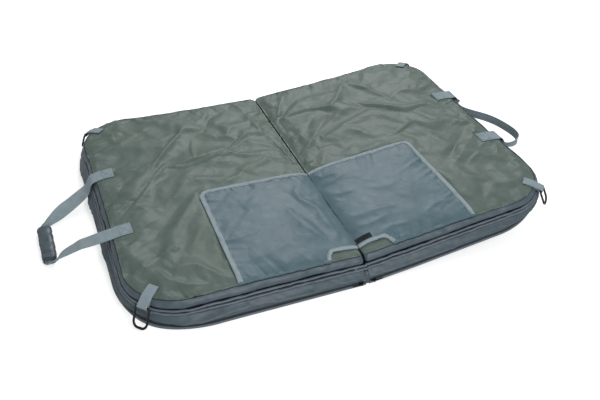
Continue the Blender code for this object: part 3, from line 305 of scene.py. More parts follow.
class Finish:
    """One material: a Principled shader, and nodes added to it by type."""

    def __init__(self, name, **constants):
        self.material = bpy.data.materials.new(name)
        self.material.use_nodes = True
        self.tree = self.material.node_tree
        self.shader = self.tree.nodes["Principled BSDF"]
        self.set(**constants)

    def set(self, **values):
        for name, value in values.items():
            join(self.tree, value, self.shader.inputs[name.replace("_", " ").title().replace("Ior", "IOR")])

    def node(self, kind, settings=(), output=0, **sockets):
        """A node with its settings made first, and then its sockets by name or number."""
        node = self.tree.nodes.new("ShaderNode" + kind)
        for name, value in dict(settings).items():
            setattr(node, name, value)
        for name, value in sockets.items():
            key = int(name[1:]) if name[1:].isdigit() else name.replace("_", " ").title()
            join(self.tree, value, node.inputs[key])
        return Wire(node.outputs[output])

    def place(self):
        return self.node("TexCoord", output=3)

    def cut(self):
        """The piece's own lengths along and across, in metres."""
        parts = self.tree.nodes.new("ShaderNodeSeparateXYZ")
        self.tree.links.new(self.node("UVMap", {"uv_map": "cut"}).socket, parts.inputs[0])
        return Wire(parts.outputs[0]), Wire(parts.outputs[1])

    def noise(self, scale, detail=2.0):
        return self.node("TexNoise", vector=self.place(), scale=scale, detail=detail)

    def wave(self, length, distance):
        """A sine over a distance, between 0 and 1, that repeats every length."""
        turnings = distance * (2 * math.pi / length)
        return turnings.sum("SINE", turnings, 0.0) * 0.5 + 0.5

    def mixed(self, share, first, second):
        return self.node("Mix", {"data_type": "RGBA"}, output=2, i0=share, i6=first, i7=second)

    def bumped(self, height, distance, strength=1.0, below=None):
        more = {"normal": below} if below else {}
        return self.node("Bump", height=height, distance=distance, strength=strength, **more)


def shade(code):
    """A colour as it reads on the screen, turned to the shader's linear one."""
    parts = [int(code[i:i + 2], 16) / 255 for i in (0, 2, 4)]
    return tuple(c / 12.92 if c <= 0.04045 else ((c + 0.055) / 1.055) ** 2.4 for c in parts)


def coated_cloth(name, codes, gloss=0.52, crinkle=0.0011, thread=0.0011, sheen=0.42):
    """Coated nylon: a close plain weave under a coating that creases and lightens with use."""
    deep, middle, pale = (shade(code) for code in codes)
    cloth = Finish(name, roughness=gloss, specular_ior_level=sheen)
    patches = cloth.noise(9.0, 3.0)
    grime = cloth.noise(46.0, 4.0)
    tone = cloth.mixed(patches, deep, middle)
    tone = cloth.mixed(grime * 0.55, tone, pale)
    cloth.set(base_color=tone, roughness=gloss - 0.10 + 0.20 * grime)
    drift = cloth.node("TexNoise", output=1, vector=cloth.place(), scale=16.0)
    drift = cloth.node("VectorMath", {"operation": "SCALE"}, i0=drift, scale=0.05)
    bent = cloth.node("VectorMath", {"operation": "ADD"}, i0=cloth.place(), i1=drift)
    ridges = {"noise_type": "RIDGED_MULTIFRACTAL"}
    folds = cloth.node("TexNoise", ridges, vector=bent, scale=11.0, detail=2.0, roughness=0.45)
    crumple = cloth.node("TexVoronoi", {"feature": "DISTANCE_TO_EDGE"}, vector=bent, scale=17.0)
    weave = cloth.node("TexNoise", vector=cloth.place(), scale=1.1 / thread, detail=1.0)
    fine = cloth.bumped(weave, 0.00010, 0.35)
    small = cloth.bumped(crumple.sum("MINIMUM", crumple, 0.2), crinkle * 4, 0.3, below=fine)
    cloth.set(normal=cloth.bumped(folds, crinkle, 0.34, below=small))
    return cloth.material


slate_nylon = coated_cloth("slate_nylon", ("38454E", "4A5963", "66767F"), gloss=0.44)
green_nylon = coated_cloth("green_nylon", ("44534A", "596862", "71827D"), gloss=0.50, sheen=0.40)
lining_nylon = coated_cloth("lining_nylon", ("15191F", "1E232A", "2D333A"))

# Each level's height, and the share of the wall's bulge that it has.
wall_shape = (
    (0.0512, -0.30), (0.0516, 0.40), (0.0535, 0.86), (0.0575, 0.96),
    (0.0620, 0.74), (0.0670, 0.32), (0.0700, 0.0),
)
wall_levels, wall_puff, wall_foot_wave = 19, 0.0026, 0.0009


def ring_outward(ring):
    """The way out in plan from each point of a closed ring."""
    ahead_of = np.roll(ring, -1, 0) - np.roll(ring, 1, 0)
    away = np.stack([ahead_of[:, 1], -ahead_of[:, 0]], -1)
    return away / np.linalg.norm(away, axis=1, keepdims=True)


def boxing_grid(seed):
    """Levels of a side wall from bottom to top, swollen by soft folds."""
    places = np.linspace(0, len(wall_shape) - 1, wall_levels)
    heights = np.interp(places, range(len(wall_shape)), [s[0] for s in wall_shape])
    flares = np.interp(places, range(len(wall_shape)), [s[1] for s in wall_shape]) * wall_bulge
    rows = []
    for height, out in zip(heights, flares):
        ring = drawn_in(whole_outline(out, 0, height), height)
        lengths = run_lengths(ring)
        share = (height - heights[0]) / (heights[-1] - heights[0])
        away = ring_outward(ring)
        free = math.sin(math.pi * share) ** 0.7
        swell = seeded_noise(lengths, share * 0.03, 0.052, seed)
        swell += 0.5 * seeded_noise(lengths + share * 0.012, share * 0.02, 0.017, seed + 1)
        ring[:, :2] += away * (swell * wall_puff * free)[:, None]
        ring[:, 0] = np.maximum(ring[:, 0], crease_gap_half * 0.8)
        ring[:, 2] += wall_foot_wave * noise_along(lengths, 0.045, seed + 2) * (1 - share)
        rows.append(ring)
    return np.array(rows)


for hand, seed in (("left", 31), ("right", 47)):
    wall = laid(boxing_grid(seed), hand)
    boxing = grid_piece(hand + "_pad_boxing", wall, slate_nylon, closed_columns=True, turned=hand == "left")
    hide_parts(hand + "_pad_wall")
    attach(boxing, hand + "_half")


# Green tops
# The tops are loose green nylon over soft foam, so the cloth gathers in short puckers at
# every seam and lies in long slack folds and sharp creases between them.
crown_height, crown_reach = 0.009, 0.028
top_columns, top_rows, corner_rows = 210, 290, 36
top_meeting = {"left": 0.0013, "right": 0.0006}
gather_size, wide_gather_size, notch_size, gather_start, least_gather = 0.0085, 0.021, 0.0068, 0.004, 0.006
cloth_step, cloth_frames, slack_limit = 0.0068, 22, 0.007
tail_middle, tail_hold_half_length, tail_hold_half_width, tail_hold_fade = 0.0235, 0.026, 0.023, 0.007
tab_hold_outset, tab_hold_radius, tab_hold_fade = -0.013, 0.027, 0.008

# Each long fold in millimetres: places out from the crease and back from the middle that it
# runs through, then how high it lifts and how wide it is.
left_creases = (
    ((354, 121), (399, 64), (449, -10), (497, -64), (542, -95), -3.0, 17),
    ((330, 140), (372, 84), (420, 12), (470, -46), (522, -84), 2.4, 17),
    ((349, -51), (387, -102), (430, -147), (455, -202), -2.6, 17),
    ((322, -64), (362, -118), (404, -166), (424, -214), 1.8, 16),
    ((418, -236), (393, -226), 2.0, 5),
    ((468, -276), (448, -328), (404, -361), (361, -377), 2.4, 12),
    ((427, -294), (376, -301), (333, -351), 2.2, 10),
    ((538, -1), (484, 47), 2.0, 8),
    ((535, -30), (453, -8), 2.2, 8),
    ((533, -65), (469, -24), 2.0, 8),
    ((86, 362), (168, 316), (212, 233), -2.4, 14),
    ((248, 283), (286, 229), (320, 187), (365, 133), (403, 65), 2.6, 6),
    ((354, 105), (301, 83), (243, 92), (173, 120), (102, 141), 2.2, 5),
    ((300, 96), (240, 106), (176, 132), -1.4, 6),
    ((246, 216), (262, 160), (270, 110), 2.0, 6),
    ((180, 114), (138, 153), (97, 186), 1.8, 5),
    ((200, 96), (160, 108), (110, 124), 1.4, 5),
    ((524, 162), (392, 283), (298, 338), 2.4, 22),
    ((502, -48), (383, 115), (307, 200), (187, 322), 2.2, 20),
    ((52, 199), (35, 119), (16, 7), -2.2, 7),
    ((60, 305), (52, 215), (38, 81), 1.8, 10),
    ((470, -200), (440, -250), (420, -300), -1.6, 14),
    ((140, 40), (180, 0), (240, -30), 1.3, 12),
)
right_creases = (
    ((10, 218), (48, 290), (84, 364), 2.4, 9),
    ((10, 218), (60, 270), (110, 317), -2.2, 9),
    ((12, 222), (62, 238), (108, 244), 2.4, 7),
    ((108, 244), (147, 233), (182, 214), (219, 247), (274, 328), 2.6, 8),
    ((55, 78), (101, 128), (162, 194), -3.2, 18),
    ((30, 96), (80, 150), (140, 214), 1.8, 16),
    ((255, 227), (283, 170), (331, 123), (379, 88), (443, 93), -2.6, 9),
    ((250, 246), (284, 190), (336, 142), (382, 106), 1.8, 10),
    ((286, 7), (333, 24), (376, 34), 2.2, 4),
    ((6, -10), (30, 20), 2.6, 5),
    ((6, 0), (39, -1), 2.4, 5),
    ((8, 40), (44, 58), (70, 84), 1.8, 8),
    ((324, -183), (394, -135), (507, -41), -3.2, 20),
    ((345, -205), (420, -150), (520, -66), 2.4, 18),
    ((405, -200), (449, -181), 2.2, 6),
    ((513, -163), (491, -203), 2.6, 8),
    ((274, 328), (329, 263), (366, 167), (392, 132), 2.2, 8),
    ((395, -386), (450, -378), 1.6, 5),
    ((10, 120), (46, 120), (77, 48), (109, 50), 2.2, 8),
    ((160, 110), (210, 60), (240, 10), 1.4, 14),
    ((420, 260), (470, 190), (500, 120), -1.6, 16),
    ((380, -300), (440, -320), (490, -330), 1.8, 10),
)
top_creases = {"left": left_creases, "right": right_creases}
top_seeds = {"left": 3, "right": 11}


def crown(depth):
    """The pad's crown above its seam, at a distance in from the edge."""
    return crown_height * (1 - np.exp(-np.power(np.maximum(depth, 0) / crown_reach, 0.8)))


def creased(x, y, creases):
    """Height of the long folds: each is a crest along a path, which dies out at its ends."""
    height = np.zeros_like(x)
    for *path, lift, width in creases:
        path = np.array(path) / 1000
        lengths = run_lengths(path)
        best, where = np.full(x.shape, 9.0), np.zeros_like(x)
        for a, b, start in zip(path, path[1:], lengths):
            step = b - a
            t = clamped(((x - a[0]) * step[0] + (y - a[1]) * step[1]) / (step @ step))
            away = np.hypot(x - a[0] - t * step[0], y - a[1] - t * step[1])
            where = np.where(away < best, start + t * np.linalg.norm(step), where)
            best = np.minimum(best, away)
        fade = clamped(where / lengths[-1] * 4) * clamped((1 - where / lengths[-1]) * 4)
        fade = 0.15 + 0.85 * fade
        height += lift / 1000 * fade * np.exp(-np.power(best / (width / 1000), 1.35))
    return height


def puckered(depths, x, y, seed, reach, rise):
    """Short gathers that stand square to each seam and fade into the cloth."""
    total = np.zeros_like(x)
    for number, (depth, along) in enumerate(zip(depths, (y, y, x, x))):
        slant = along + 0.35 * depth * (1 if number % 2 else -1)
        length = reach * (0.8 + 0.5 * noise_along(along, 0.06, seed + number))
        length = np.maximum(length, least_gather)
        gather = noise_along(slant, gather_size, seed + 10 + number)
        gather += 0.9 * noise_along(slant, wide_gather_size, seed + 20 + number)
        start = clamped(depth / gather_start)
        total += rise * gather * start * np.exp(-np.maximum(depth, 0) / length)
        notch = clamped(3 * noise_along(slant, notch_size, seed + 30 + number) - 1.1)
        sharp = 1.2 if number else 0.5
        total -= sharp * rise * notch * start * np.exp(-np.maximum(depth, 0) / (0.45 * length))
    return total


def slack_cloth(hand):
    """Cloth simulation of a loose sheet that is pinned at its seams, as a height over the plan."""
    xs = np.arange(0, half_length + cloth_step, cloth_step)
    ys = np.arange(-half_width, half_width + cloth_step, cloth_step)
    x, y = np.meshgrid(xs, ys)
    start = 0.0008 * seeded_noise(x + 0.4 * y, y - 0.4 * x, 0.034, top_seeds[hand])
    start += creased(x, y, top_creases[hand]) * 0.4
    depth = np.minimum.reduce(edge_depths(x, y))
    start *= clamped(depth / 0.02)
    sheet = grid_piece(hand + "_slack", np.stack([x, y, start], -1), green_nylon)
    pins = sheet.vertex_groups.new(name="sewn")
    pins.add([int(i) for i in np.flatnonzero(depth.ravel() < cloth_step * 0.9)], 1.0, "REPLACE")
    cloth = sheet.modifiers.new("slack", "CLOTH")
    settings = cloth.settings
    settings.vertex_group_mass = "sewn"
    settings.shrink_min = -0.028
    settings.quality = 6
    settings.mass = 0.12
    settings.tension_stiffness = settings.compression_stiffness = 22
    settings.shear_stiffness = 8
    settings.bending_stiffness = 0.35
    settings.air_damping = 3
    settings.effector_weights.gravity = 0
    cloth.collision_settings.use_self_collision = False
    cloth.collision_settings.use_collision = False
    scene = bpy.context.scene
    cloth.point_cache.frame_start, cloth.point_cache.frame_end = 1, cloth_frames
    for number in range(1, cloth_frames + 1):
        scene.frame_set(number)
    solved = sheet.evaluated_get(bpy.context.evaluated_depsgraph_get())
    settled = np.array([v.co[2] for v in solved.data.vertices]).reshape(x.shape)
    scene.frame_set(1)
    mesh = sheet.data
    bpy.data.objects.remove(sheet, do_unlink=True)
    bpy.data.meshes.remove(mesh)
    settled = np.clip(settled, -slack_limit, slack_limit)
    return np.where(settled < 0, settled * 0.55, settled)


def sampled(field, x, y):
    """Heights between the points of the simulated sheet."""
    gx = np.clip(x / cloth_step, 0, field.shape[1] - 1.001)
    gy = np.clip((y + half_width) / cloth_step, 0, field.shape[0] - 1.001)
    ix, iy = gx.astype(int), gy.astype(int)
    fx, fy = gx - ix, gy - iy
    low = field[iy, ix] * (1 - fx) + field[iy, ix + 1] * fx
    high = field[iy + 1, ix] * (1 - fx) + field[iy + 1, ix + 1] * fx
    return low * (1 - fy) + high * fy


def sewn_down(x, y):
    """Where the tails of the handles and the corner tabs hold the cloth flat, from 0 to 1."""
    along = tail_hold_half_length - np.abs(x - half_length + tail_middle)
    across = tail_hold_half_width - np.abs(np.abs(y) - handle_spread)
    tails = clamped(np.minimum(along, across) / tail_hold_fade + 0.6)
    tab_x, tab_y = corner_place(1, tab_hold_outset)
    tabs = clamped((tab_hold_radius - np.hypot(x - tab_x, np.abs(y) - tab_y)) / tab_hold_fade)
    return np.maximum(tails, tabs)


def top_plan(meeting):
    """Plan of a top: rows from front to back that end on its rounded outline."""
    quarter = np.sin(np.linspace(0, math.pi / 2, corner_rows))
    edge = half_width - corner_radius * (1 - quarter[::-1])
    straight_half = half_width - corner_radius
    inner = np.linspace(-straight_half, straight_half, top_rows - 2 * (corner_rows - 1))
    ys = np.concatenate([-edge, inner[1:-1], edge[::-1]])
    shares = np.linspace(0, 1, top_columns)
    shares = shares - 0.11 * np.sin(2 * math.pi * shares) / math.pi
    beyond = np.maximum(np.abs(ys) - straight_half, 0)
    far = half_length - corner_radius + np.sqrt(corner_radius ** 2 - beyond ** 2)
    beyond = np.maximum(np.abs(ys) - (half_width - crease_radius), 0)
    near = meeting + crease_radius - np.sqrt(np.maximum(crease_radius ** 2 - beyond ** 2, 0))
    x = near[:, None] + (far - near)[:, None] * shares
    return x, np.repeat(ys[:, None], top_columns, 1)


# Lie of the kneeling flap
# The flap is thinly padded slate nylon, sewn along the front seam so that it can be thrown
# forward. Webbing tape is folded over its free edges and over the mouth cut in its front.
flap_half_width, flap_back, flap_corner, flap_setback = 0.303, 0.042, 0.028, 0.002
flap_lift, flap_thickness = 0.0016, 0.003
mouth_half_width, mouth_taper, mouth_depth, mouth_corner = 0.081, 0.009, 0.026, 0.008
tape_width, mouth_tape_width, tape_wall = 0.0105, 0.0085, 0.001
flap_seeds, no_seam = {"left": 131, "right": 151}, 9
roof_clear, roof_slope, roof_softness = 0.0006, 0.055, 0.0008
# The flap's folds, written in the same way as those of the tops.
flap_creases = {
    "left": (
        ((12, -60), (60, -115), (66, -150), (36, -200), (37, -257), (30, -319), 2.6, 10),
        ((100, -90), (92, -150), (64, -230), (60, -300), -1.8, 13),
        ((118, -150), (104, -210), (96, -280), 1.6, 12),
        ((93, -244), (80, -295), 1.8, 5),
        ((94, -224), (77, -289), (60, -328), 1.6, 8),
        ((160, -110), (200, -160), (250, -190), 1.2, 16),
        ((150, -300), (210, -320), (270, -330), 1.2, 12),
        ((180, -210), (220, -240), (286, -250), 1.2, 9),
    ),
    "right": (
        ((6, -60), (25, -84), (77, -87), 2.4, 7),
        ((10, -110), (50, -112), (90, -96), 1.8, 8),
        ((8, -150), (40, -170), (84, -170), 1.6, 9),
        ((62, -348), (104, -336), (152, -347), 1.8, 6),
        ((21, -267), (76, -267), (156, -272), 1.6, 8),
        ((14, -300), (60, -306), (110, -300), 1.4, 6),
        ((110, -180), (160, -200), (210, -190), 1.2, 14),
        ((180, -120), (230, -160), (280, -210), -1.4, 14),
        ((200, -330), (240, -310), (290, -320), 1.4, 8),
    ),
}


def flap_relief(x, y, hand):
    """Height of the flap's face over the seam plane: the pad's crown under it and its own folds.

    A soft roof keeps it under the fold's axis beside the crease."""
    seed = flap_seeds[hand]
    out = np.maximum(x, 0)
    depth = np.minimum(np.minimum(y + half_width, x - crease_gap_half), 0.25)
    edges = (flap_half_width - x, y + half_width - 0.001, -flap_back - y)
    folds = 1.8 * creased(x, y, flap_creases[hand])
    folds += 0.0022 * seeded_noise(x + 0.4 * y, y - 0.4 * x, 0.062, seed)
    folds += 0.0007 * seeded_noise(x + 0.9 * y, 0.5 * (y - 0.9 * x), 0.020, seed + 2)
    folds = np.maximum(folds, -0.0010)
    free = clamped(np.minimum.reduce(edges) / 0.016)
    gathers = puckered((no_seam + 0 * x, *edges), x, y, seed + 5, reach=0.030, rise=0.0023)
    dip = -0.0026 * np.exp(-(out / 0.016) ** 1.5) * clamped((y + half_width) / 0.05 + 0.4)
    face = crown(depth) * (1 - 0.25 * np.exp(-out / 0.02)) + folds * free + gathers + dip + flap_lift
    roof = fold_height - seam_height - flap_thickness - roof_clear + roof_slope * out
    over = np.clip((face - roof) / roof_softness, -30, 30)
    return face - roof_softness * np.log1p(np.exp(over))


# Green cloth over the pads
# Under the flap the green cloth is pressed flat; elsewhere it lies as the simulation and the
# long folds leave it.
slack = {}
for hand in ("left", "right"):
    slack[hand] = slack_cloth(hand)
end_pleat_height = {"left": 0.0046, "right": 0.0024}


def top_height(x, y, hand):
    """Height of the finished top over the seam plane, without the flap."""
    seed = top_seeds[hand]
    depths = edge_depths(x, y)
    depth = np.minimum.reduce(depths)
    free = clamped(depth / 0.018)
    folds = 1.35 * creased(x, y, top_creases[hand])
    folds += 0.0026 * seeded_noise(x + 0.5 * y, y - 0.5 * x, 0.085, seed + 40)
    folds += 0.0009 * seeded_noise(x + 0.7 * y, (y - 0.7 * x) * 0.45, 0.023, seed + 41)
    if slack[hand] is not None:
        folds += 0.8 * sampled(slack[hand], x, y)
    valley = -0.0018 * np.exp(-np.maximum(depths[0], 0) / 0.010)
    gathers = puckered(depths, x, y, seed + 60, reach=0.034, rise=0.0021)
    inward = np.maximum(depths[1], 0)
    pleat = 1 - 2.4 * np.abs(seeded_noise(y - 0.55 * inward, 0.3 * inward, 0.029, seed + 80))
    run = 0.055 + 0.03 * noise_along(y, 0.07, seed + 81)
    gathers += end_pleat_height[hand] * pleat * np.exp(-inward / run) * clamped(inward / 0.012)
    loose = (folds * free + gathers) * (1 - sewn_down(x, y))
    free_top = crown(depth) + loose + valley * clamped(depth / 0.004)
    pressed = np.minimum(crown(depth) + valley, flap_relief(x, y, hand) - 0.0008)
    off_flap = np.maximum(x - flap_half_width, y + flap_back)
    return pressed + (free_top - pressed) * clamped(off_flap / 0.012 + 0.3)


for hand in ("left", "right"):
    x, y = top_plan(top_meeting[hand])
    top = drawn_in(np.stack([x, y], -1), seam_height)
    top[..., 2] += top_height(x, y, hand)
    cover = grid_piece(hand + "_top_cover", laid(top, hand), green_nylon, turned=hand == "left")
    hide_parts(hand + "_top_panel", hand + "_pad_foam")
    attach(cover, hand + "_half")


# Hems between the layers
# The pad and the base are each finished with a rolled hem of nylon, sewn close together.
# The rolls are pulled up by their thread, so they run in small waves like two ropes.
hem_tuck, hem_reach, hem_roll = 0.007, 0.0105, 0.0026
lower_middle, upper_middle = 0.0404, 0.0478
hem_wave, hem_wander, hem_twist, hem_twist_length = 0.0008, 0.0007, 0.00028, 0.0042
hem_seeds = {"left": 4, "right": 5}
hems = (
    ("base_hem", lower_middle, hem_tuck + hem_reach - 0.0005, 71),
    ("pad_hem", upper_middle, hem_tuck + hem_reach - 0.0035, 83),
)


def swept_run(section):
    """A section of (flare, height) pairs carried round the front, end and back of a half."""
    return np.array([drawn_in(outer_sides(flare, 0, 0, height), height) for flare, height in section])


def run_outward(run):
    """The way out from a run of points in plan."""
    ahead_of = np.gradient(run[:, :2], axis=0)
    away = np.stack([ahead_of[:, 1], -ahead_of[:, 0]], -1)
    return away / np.linalg.norm(away, axis=1, keepdims=True)


def circle(count):
    """Evenly spaced angles all the way round."""
    return np.linspace(0, 2 * math.pi, count + 1)[:-1]


def roll_grid(lip, middle, seed):
    """A rolled hem: an oval roll whose height and fullness change along it."""
    core = drawn_in(outer_sides(lip - hem_roll, 0, 0, middle), middle)
    lengths = run_lengths(core)
    away = run_outward(core)
    up = hem_wave * noise_along(lengths, 0.016, seed)
    up += 0.6 * hem_wave * noise_along(lengths, 0.041, seed + 1)
    full = 1 + 0.16 * noise_along(lengths, 0.011, seed + 2)
    out = hem_wander * noise_along(lengths, 0.019, seed + 3)
    rows = []
    for angle in circle(14):
        ring = core.copy()
        push = hem_roll * math.cos(angle) * (1 if math.cos(angle) > 0 else 1.6)
        ring[:, :2] += away * (push * full + out)[:, None]
        twist = hem_twist * np.sin(lengths / hem_twist_length + 2 * angle)
        ring[:, 2] += hem_roll * math.sin(angle) * full + up + twist
        rows.append(ring)
    return np.array(rows)


rolled_nylon = coated_cloth("rolled_nylon", ("4B5660", "636E78", "838D96"), gloss=0.44)


def close_ends(piece):
    """Cap the open ends of a swept piece."""
    work = bmesh.new()
    work.from_mesh(piece.data)
    open_edges = [edge for edge in work.edges if edge.is_boundary]
    bmesh.ops.holes_fill(work, edges=open_edges, sides=0)
    work.to_mesh(piece.data)
    work.free()


for hand in ("left", "right"):
    for name, middle, lip, seed in hems:
        roll = laid(roll_grid(lip, middle, seed + hem_seeds[hand]), hand)
        hem = grid_piece(f"{hand}_{name}_roll", roll, rolled_nylon, closed_rows=True, turned=hand == "right")
        close_ends(hem)
        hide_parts(f"{hand}_{name}")
        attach(hem, hand + "_half")


# Upper seams
# The seam between the green top and the wall is drawn tight. The shade in it is painted: a fine dark cord
# that wanders a little with the gathers.
seam_outset, seam_radius, seam_rise, seam_wander = 0.0004, 0.0009, 0.0004, 0.0004
# The cord's near-black colour is painted shade in the seam, not a thread colour.
seam_shadow = Finish("seam_shadow", roughness=0.8, specular_ior_level=0.2)
seam_shadow.set(base_color=seam_shadow.mixed(seam_shadow.noise(120.0), shade("1F2529"), shade("39424A")))
for hand in ("left", "right"):
    core = drawn_in(whole_outline(seam_outset, 0, seam_height), seam_height)
    lengths = run_lengths(core)
    core[:, 2] += seam_rise + seam_wander * noise_along(lengths, 0.009, 23)
    core[:, 2] -= 0.0030 * clamped((0.012 - core[:, 0]) / 0.008)
    along = np.roll(core, -1, 0) - np.roll(core, 1, 0)
    away = np.stack([along[:, 1], -along[:, 0], 0 * lengths], -1)
    away /= np.linalg.norm(along, axis=1, keepdims=True)
    core += away * (seam_wander * noise_along(lengths, 0.007, 24))[:, None]
    tube = laid(np.array([
        core + away * (seam_radius * math.cos(a)) + np.array((0, 0, seam_radius * math.sin(a)))
        for a in circle(6)
    ]), hand)
    cord = grid_piece(
        hand + "_seam_line", tube, seam_shadow.material,
        closed_rows=True, closed_columns=True, turned=hand == "right")
    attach(cord, hand + "_half")


# Linings
# Behind the hems the pad and the base are each closed with plain dark nylon. Each cloth
# starts at its hem's seam and is dished a little towards the other layer.
lining_dish, lining_dish_run, innermost = 0.0036, 0.017, 0.2655
linings = (
    ("base_lining", lower_middle - 0.001, lining_dish),
    ("pad_lining", upper_middle + 0.001, -lining_dish),
)


def lining_grid(height, dish):
    """A cloth from the hem's seam inwards, dished towards the other layer."""
    rows = []
    for inset in np.concatenate([np.linspace(0, 0.030, 10), [0.12, 0.22, innermost]]):
        ring = drawn_in(whole_outline(hem_tuck, inset, height), height)
        ring[:, 2] = height + dish * min(inset / lining_dish_run, 1)
        rows.append(ring)
    return np.array(rows)


for hand in ("left", "right"):
    for name, height, dish in linings:
        cloth = laid(lining_grid(height, dish), hand)
        sheet = grid_piece(f"{hand}_{name}_cloth", cloth, lining_nylon, closed_columns=True)
        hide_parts(f"{hand}_{name}")
        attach(sheet, hand + "_half")


# Base bands, piping and zip
# The base is a wide soft band of slate nylon that flares to the ground. A zip runs round
# its foot between the band and a corded piping that borders the ground sheet.
piping_radius, piping_outset = 0.003, 0.0003
zip_foot, zip_height, zip_overlap, coil_out = 0.0063, 0.006, 0.0002, 0.0010
zip_middle, zip_tooth = zip_foot + zip_height / 2, 0.0024
# Each level's height, and the share of the base's flare that it has.
band_shape = (
    (0.0126, 0.99), (0.0150, 1.03), (0.0195, 1.12), (0.0250, 1.09),
    (0.0312, 0.84), (0.0365, 0.58), (0.0392, 0.30),
)
band_levels = 19


def band_grid(seed):
    """The base band, with the long sag of its cloth and a fold that runs along its middle."""
    heights = np.linspace(band_shape[0][0], band_shape[-1][0], band_levels)
    flares = np.interp(heights, [s[0] for s in band_shape], [s[1] for s in band_shape]) * base_flare
    rows = []
    for height, out in zip(heights, flares):
        ring = drawn_in(whole_outline(out, 0, height), height)
        lengths = run_lengths(ring)
        away = ring_outward(ring)
        share = (height - heights[0]) / (heights[-1] - heights[0])
        free = math.sin(math.pi * share) ** 0.8
        swell = 0.0030 * seeded_noise(lengths, share * 0.05 + 0 * lengths, 0.075, seed)
        swell += 0.0017 * seeded_noise(lengths + 0.06 * share, share * 0.05 + 0 * lengths, 0.021, seed + 1)
        swell += 0.0009 * seeded_noise(lengths - 0.05 * share, share * 0.04 + 0 * lengths, 0.010, seed + 6)
        fold_place = 0.50 + 0.20 * noise_along(lengths, 0.12, seed + 2)
        depth = clamped(0.75 + 0.8 * noise_along(lengths, 0.10, seed + 3))
        swell += 0.0046 * np.exp(-((share - fold_place) / 0.12) ** 2) * depth
        swell -= 0.0034 * np.exp(-((share - fold_place + 0.28) / 0.10) ** 2) * depth
        free = free * clamped((ring[:, 0] - 0.002) / 0.020)
        ring[:, :2] += away * (swell * free)[:, None]
        ring[:, 0] = np.maximum(ring[:, 0], crease_gap_half * 0.6)
        rows.append(ring)
    return np.array(rows)


zip_finish = Finish("zip_tape", roughness=0.62, specular_ior_level=0.35)
along, across = zip_finish.cut()
teeth = zip_finish.wave(zip_tooth, along)
zip_finish.set(base_color=zip_finish.mixed(teeth, shade("1D2329"), shade("3C444B")))
zip_finish.set(normal=zip_finish.bumped(teeth, 0.0006, 0.8))

piping_section = [
    (base_flare + piping_outset + piping_radius * math.cos(a), piping_radius + piping_radius * math.sin(a))
    for a in circle(12)
]
coil = ((-0.0014, 0.0), (-0.0008, 0.8), (0.0, 1.0), (0.0008, 0.8), (0.0014, 0.0))
zip_section = [(base_flare, zip_foot - zip_overlap)]
zip_section += [(base_flare + coil_out * share, zip_middle + rise) for rise, share in coil]
zip_section += [(base_flare, zip_foot + zip_height + zip_overlap)]

for hand, seed in (("left", 5), ("right", 15)):
    cloth = laid(band_grid(seed), hand)
    band = grid_piece(
        hand + "_base_band_cloth", cloth, slate_nylon, closed_columns=True, turned=hand == "left")
    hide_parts(hand + "_base_band", hand + "_base_foam")
    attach(band, hand + "_half")

    cord = swept_run(piping_section)
    cord[..., 2] = np.maximum(cord[..., 2], 0)
    piping = grid_piece(
        hand + "_piping", laid(cord, hand), rolled_nylon, closed_rows=True, turned=hand == "right")
    close_ends(piping)
    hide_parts(hand + "_base_piping")
    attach(piping, hand + "_half")

    strip = laid(swept_run(zip_section), hand)
    tape = grid_piece(hand + "_zip_tape", strip, zip_finish.material, turned=hand == "left")
    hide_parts(hand + "_base_zip")
    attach(tape, hand + "_half")


# Ground sheets
# Under each half lies a tough dark sheet with a coarse coated weave. It is turned up at
# its edge to meet the piping.
rib_length, last_edge_length, last_edge_height = 0.003, 0.01, 0.07
sheet_levels = ((0.0, 0.0015), (0.0, 0.0003), (0.0005, 0.0), (0.05, 0.0), (0.15, 0.0), (innermost, 0.0))
ground_finish = Finish("ground_sheet", roughness=0.7, specular_ior_level=0.3)
spots = ground_finish.noise(30.0, 3.0)
ground_finish.set(base_color=ground_finish.mixed(spots, shade("3A434B"), shade("525B63")))
parted = ground_finish.node("SeparateXYZ", vector=ground_finish.place()).socket.node
place_x, place_y = Wire(parted.outputs[0]), Wire(parted.outputs[1])
ribs = ground_finish.wave(rib_length, place_x) * 0.5 + ground_finish.wave(rib_length, place_y) * 0.5
ground_finish.set(normal=ground_finish.bumped(ribs, 0.0003, 0.5))
for hand in ("left", "right"):
    rows = np.array([
        drawn_in(whole_outline(base_flare - piping_radius, inset, 0), height)
        for inset, height in sheet_levels
    ])
    ground = grid_piece(
        hand + "_ground_sheet", laid(rows, hand), ground_finish.material,
        closed_columns=True, turned=hand == "right")
    work = bmesh.new()
    work.from_mesh(ground.data)
    slit = [
        edge for edge in work.edges
        if edge.is_boundary and edge.calc_length() < last_edge_length
        and max(v.co.z for v in edge.verts) < last_edge_height
    ]
    bmesh.ops.holes_fill(work, edges=slit, sides=0)
    work.to_mesh(ground.data)
    work.free()
    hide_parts(hand + "_base_sheet")
    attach(ground, hand + "_half")


# Flap cloth
# The flap is slate nylon with a dark nylon underside. It is cut in two at the crease, and
# its cloth dips towards it. At the front it turns down over its seam.
flap_meeting = {"left": 0.0009, "right": 0.0003}
underside_meeting, underside_clear = 0.0010, 0.0002
mouth_rows, open_rows, round_rows, flap_columns = 12, 62, 12, 130
# How far the cloth hangs out and down in front of its seam, from its foot upwards.
hanging_rows = ((0.0034, 0.0062), (0.0036, 0.0040), (0.0032, 0.0016), (0.0020, 0.0004))
foot_line_radius, tuck_reach, tuck_clear = 0.0010, 0.0018, 0.0003


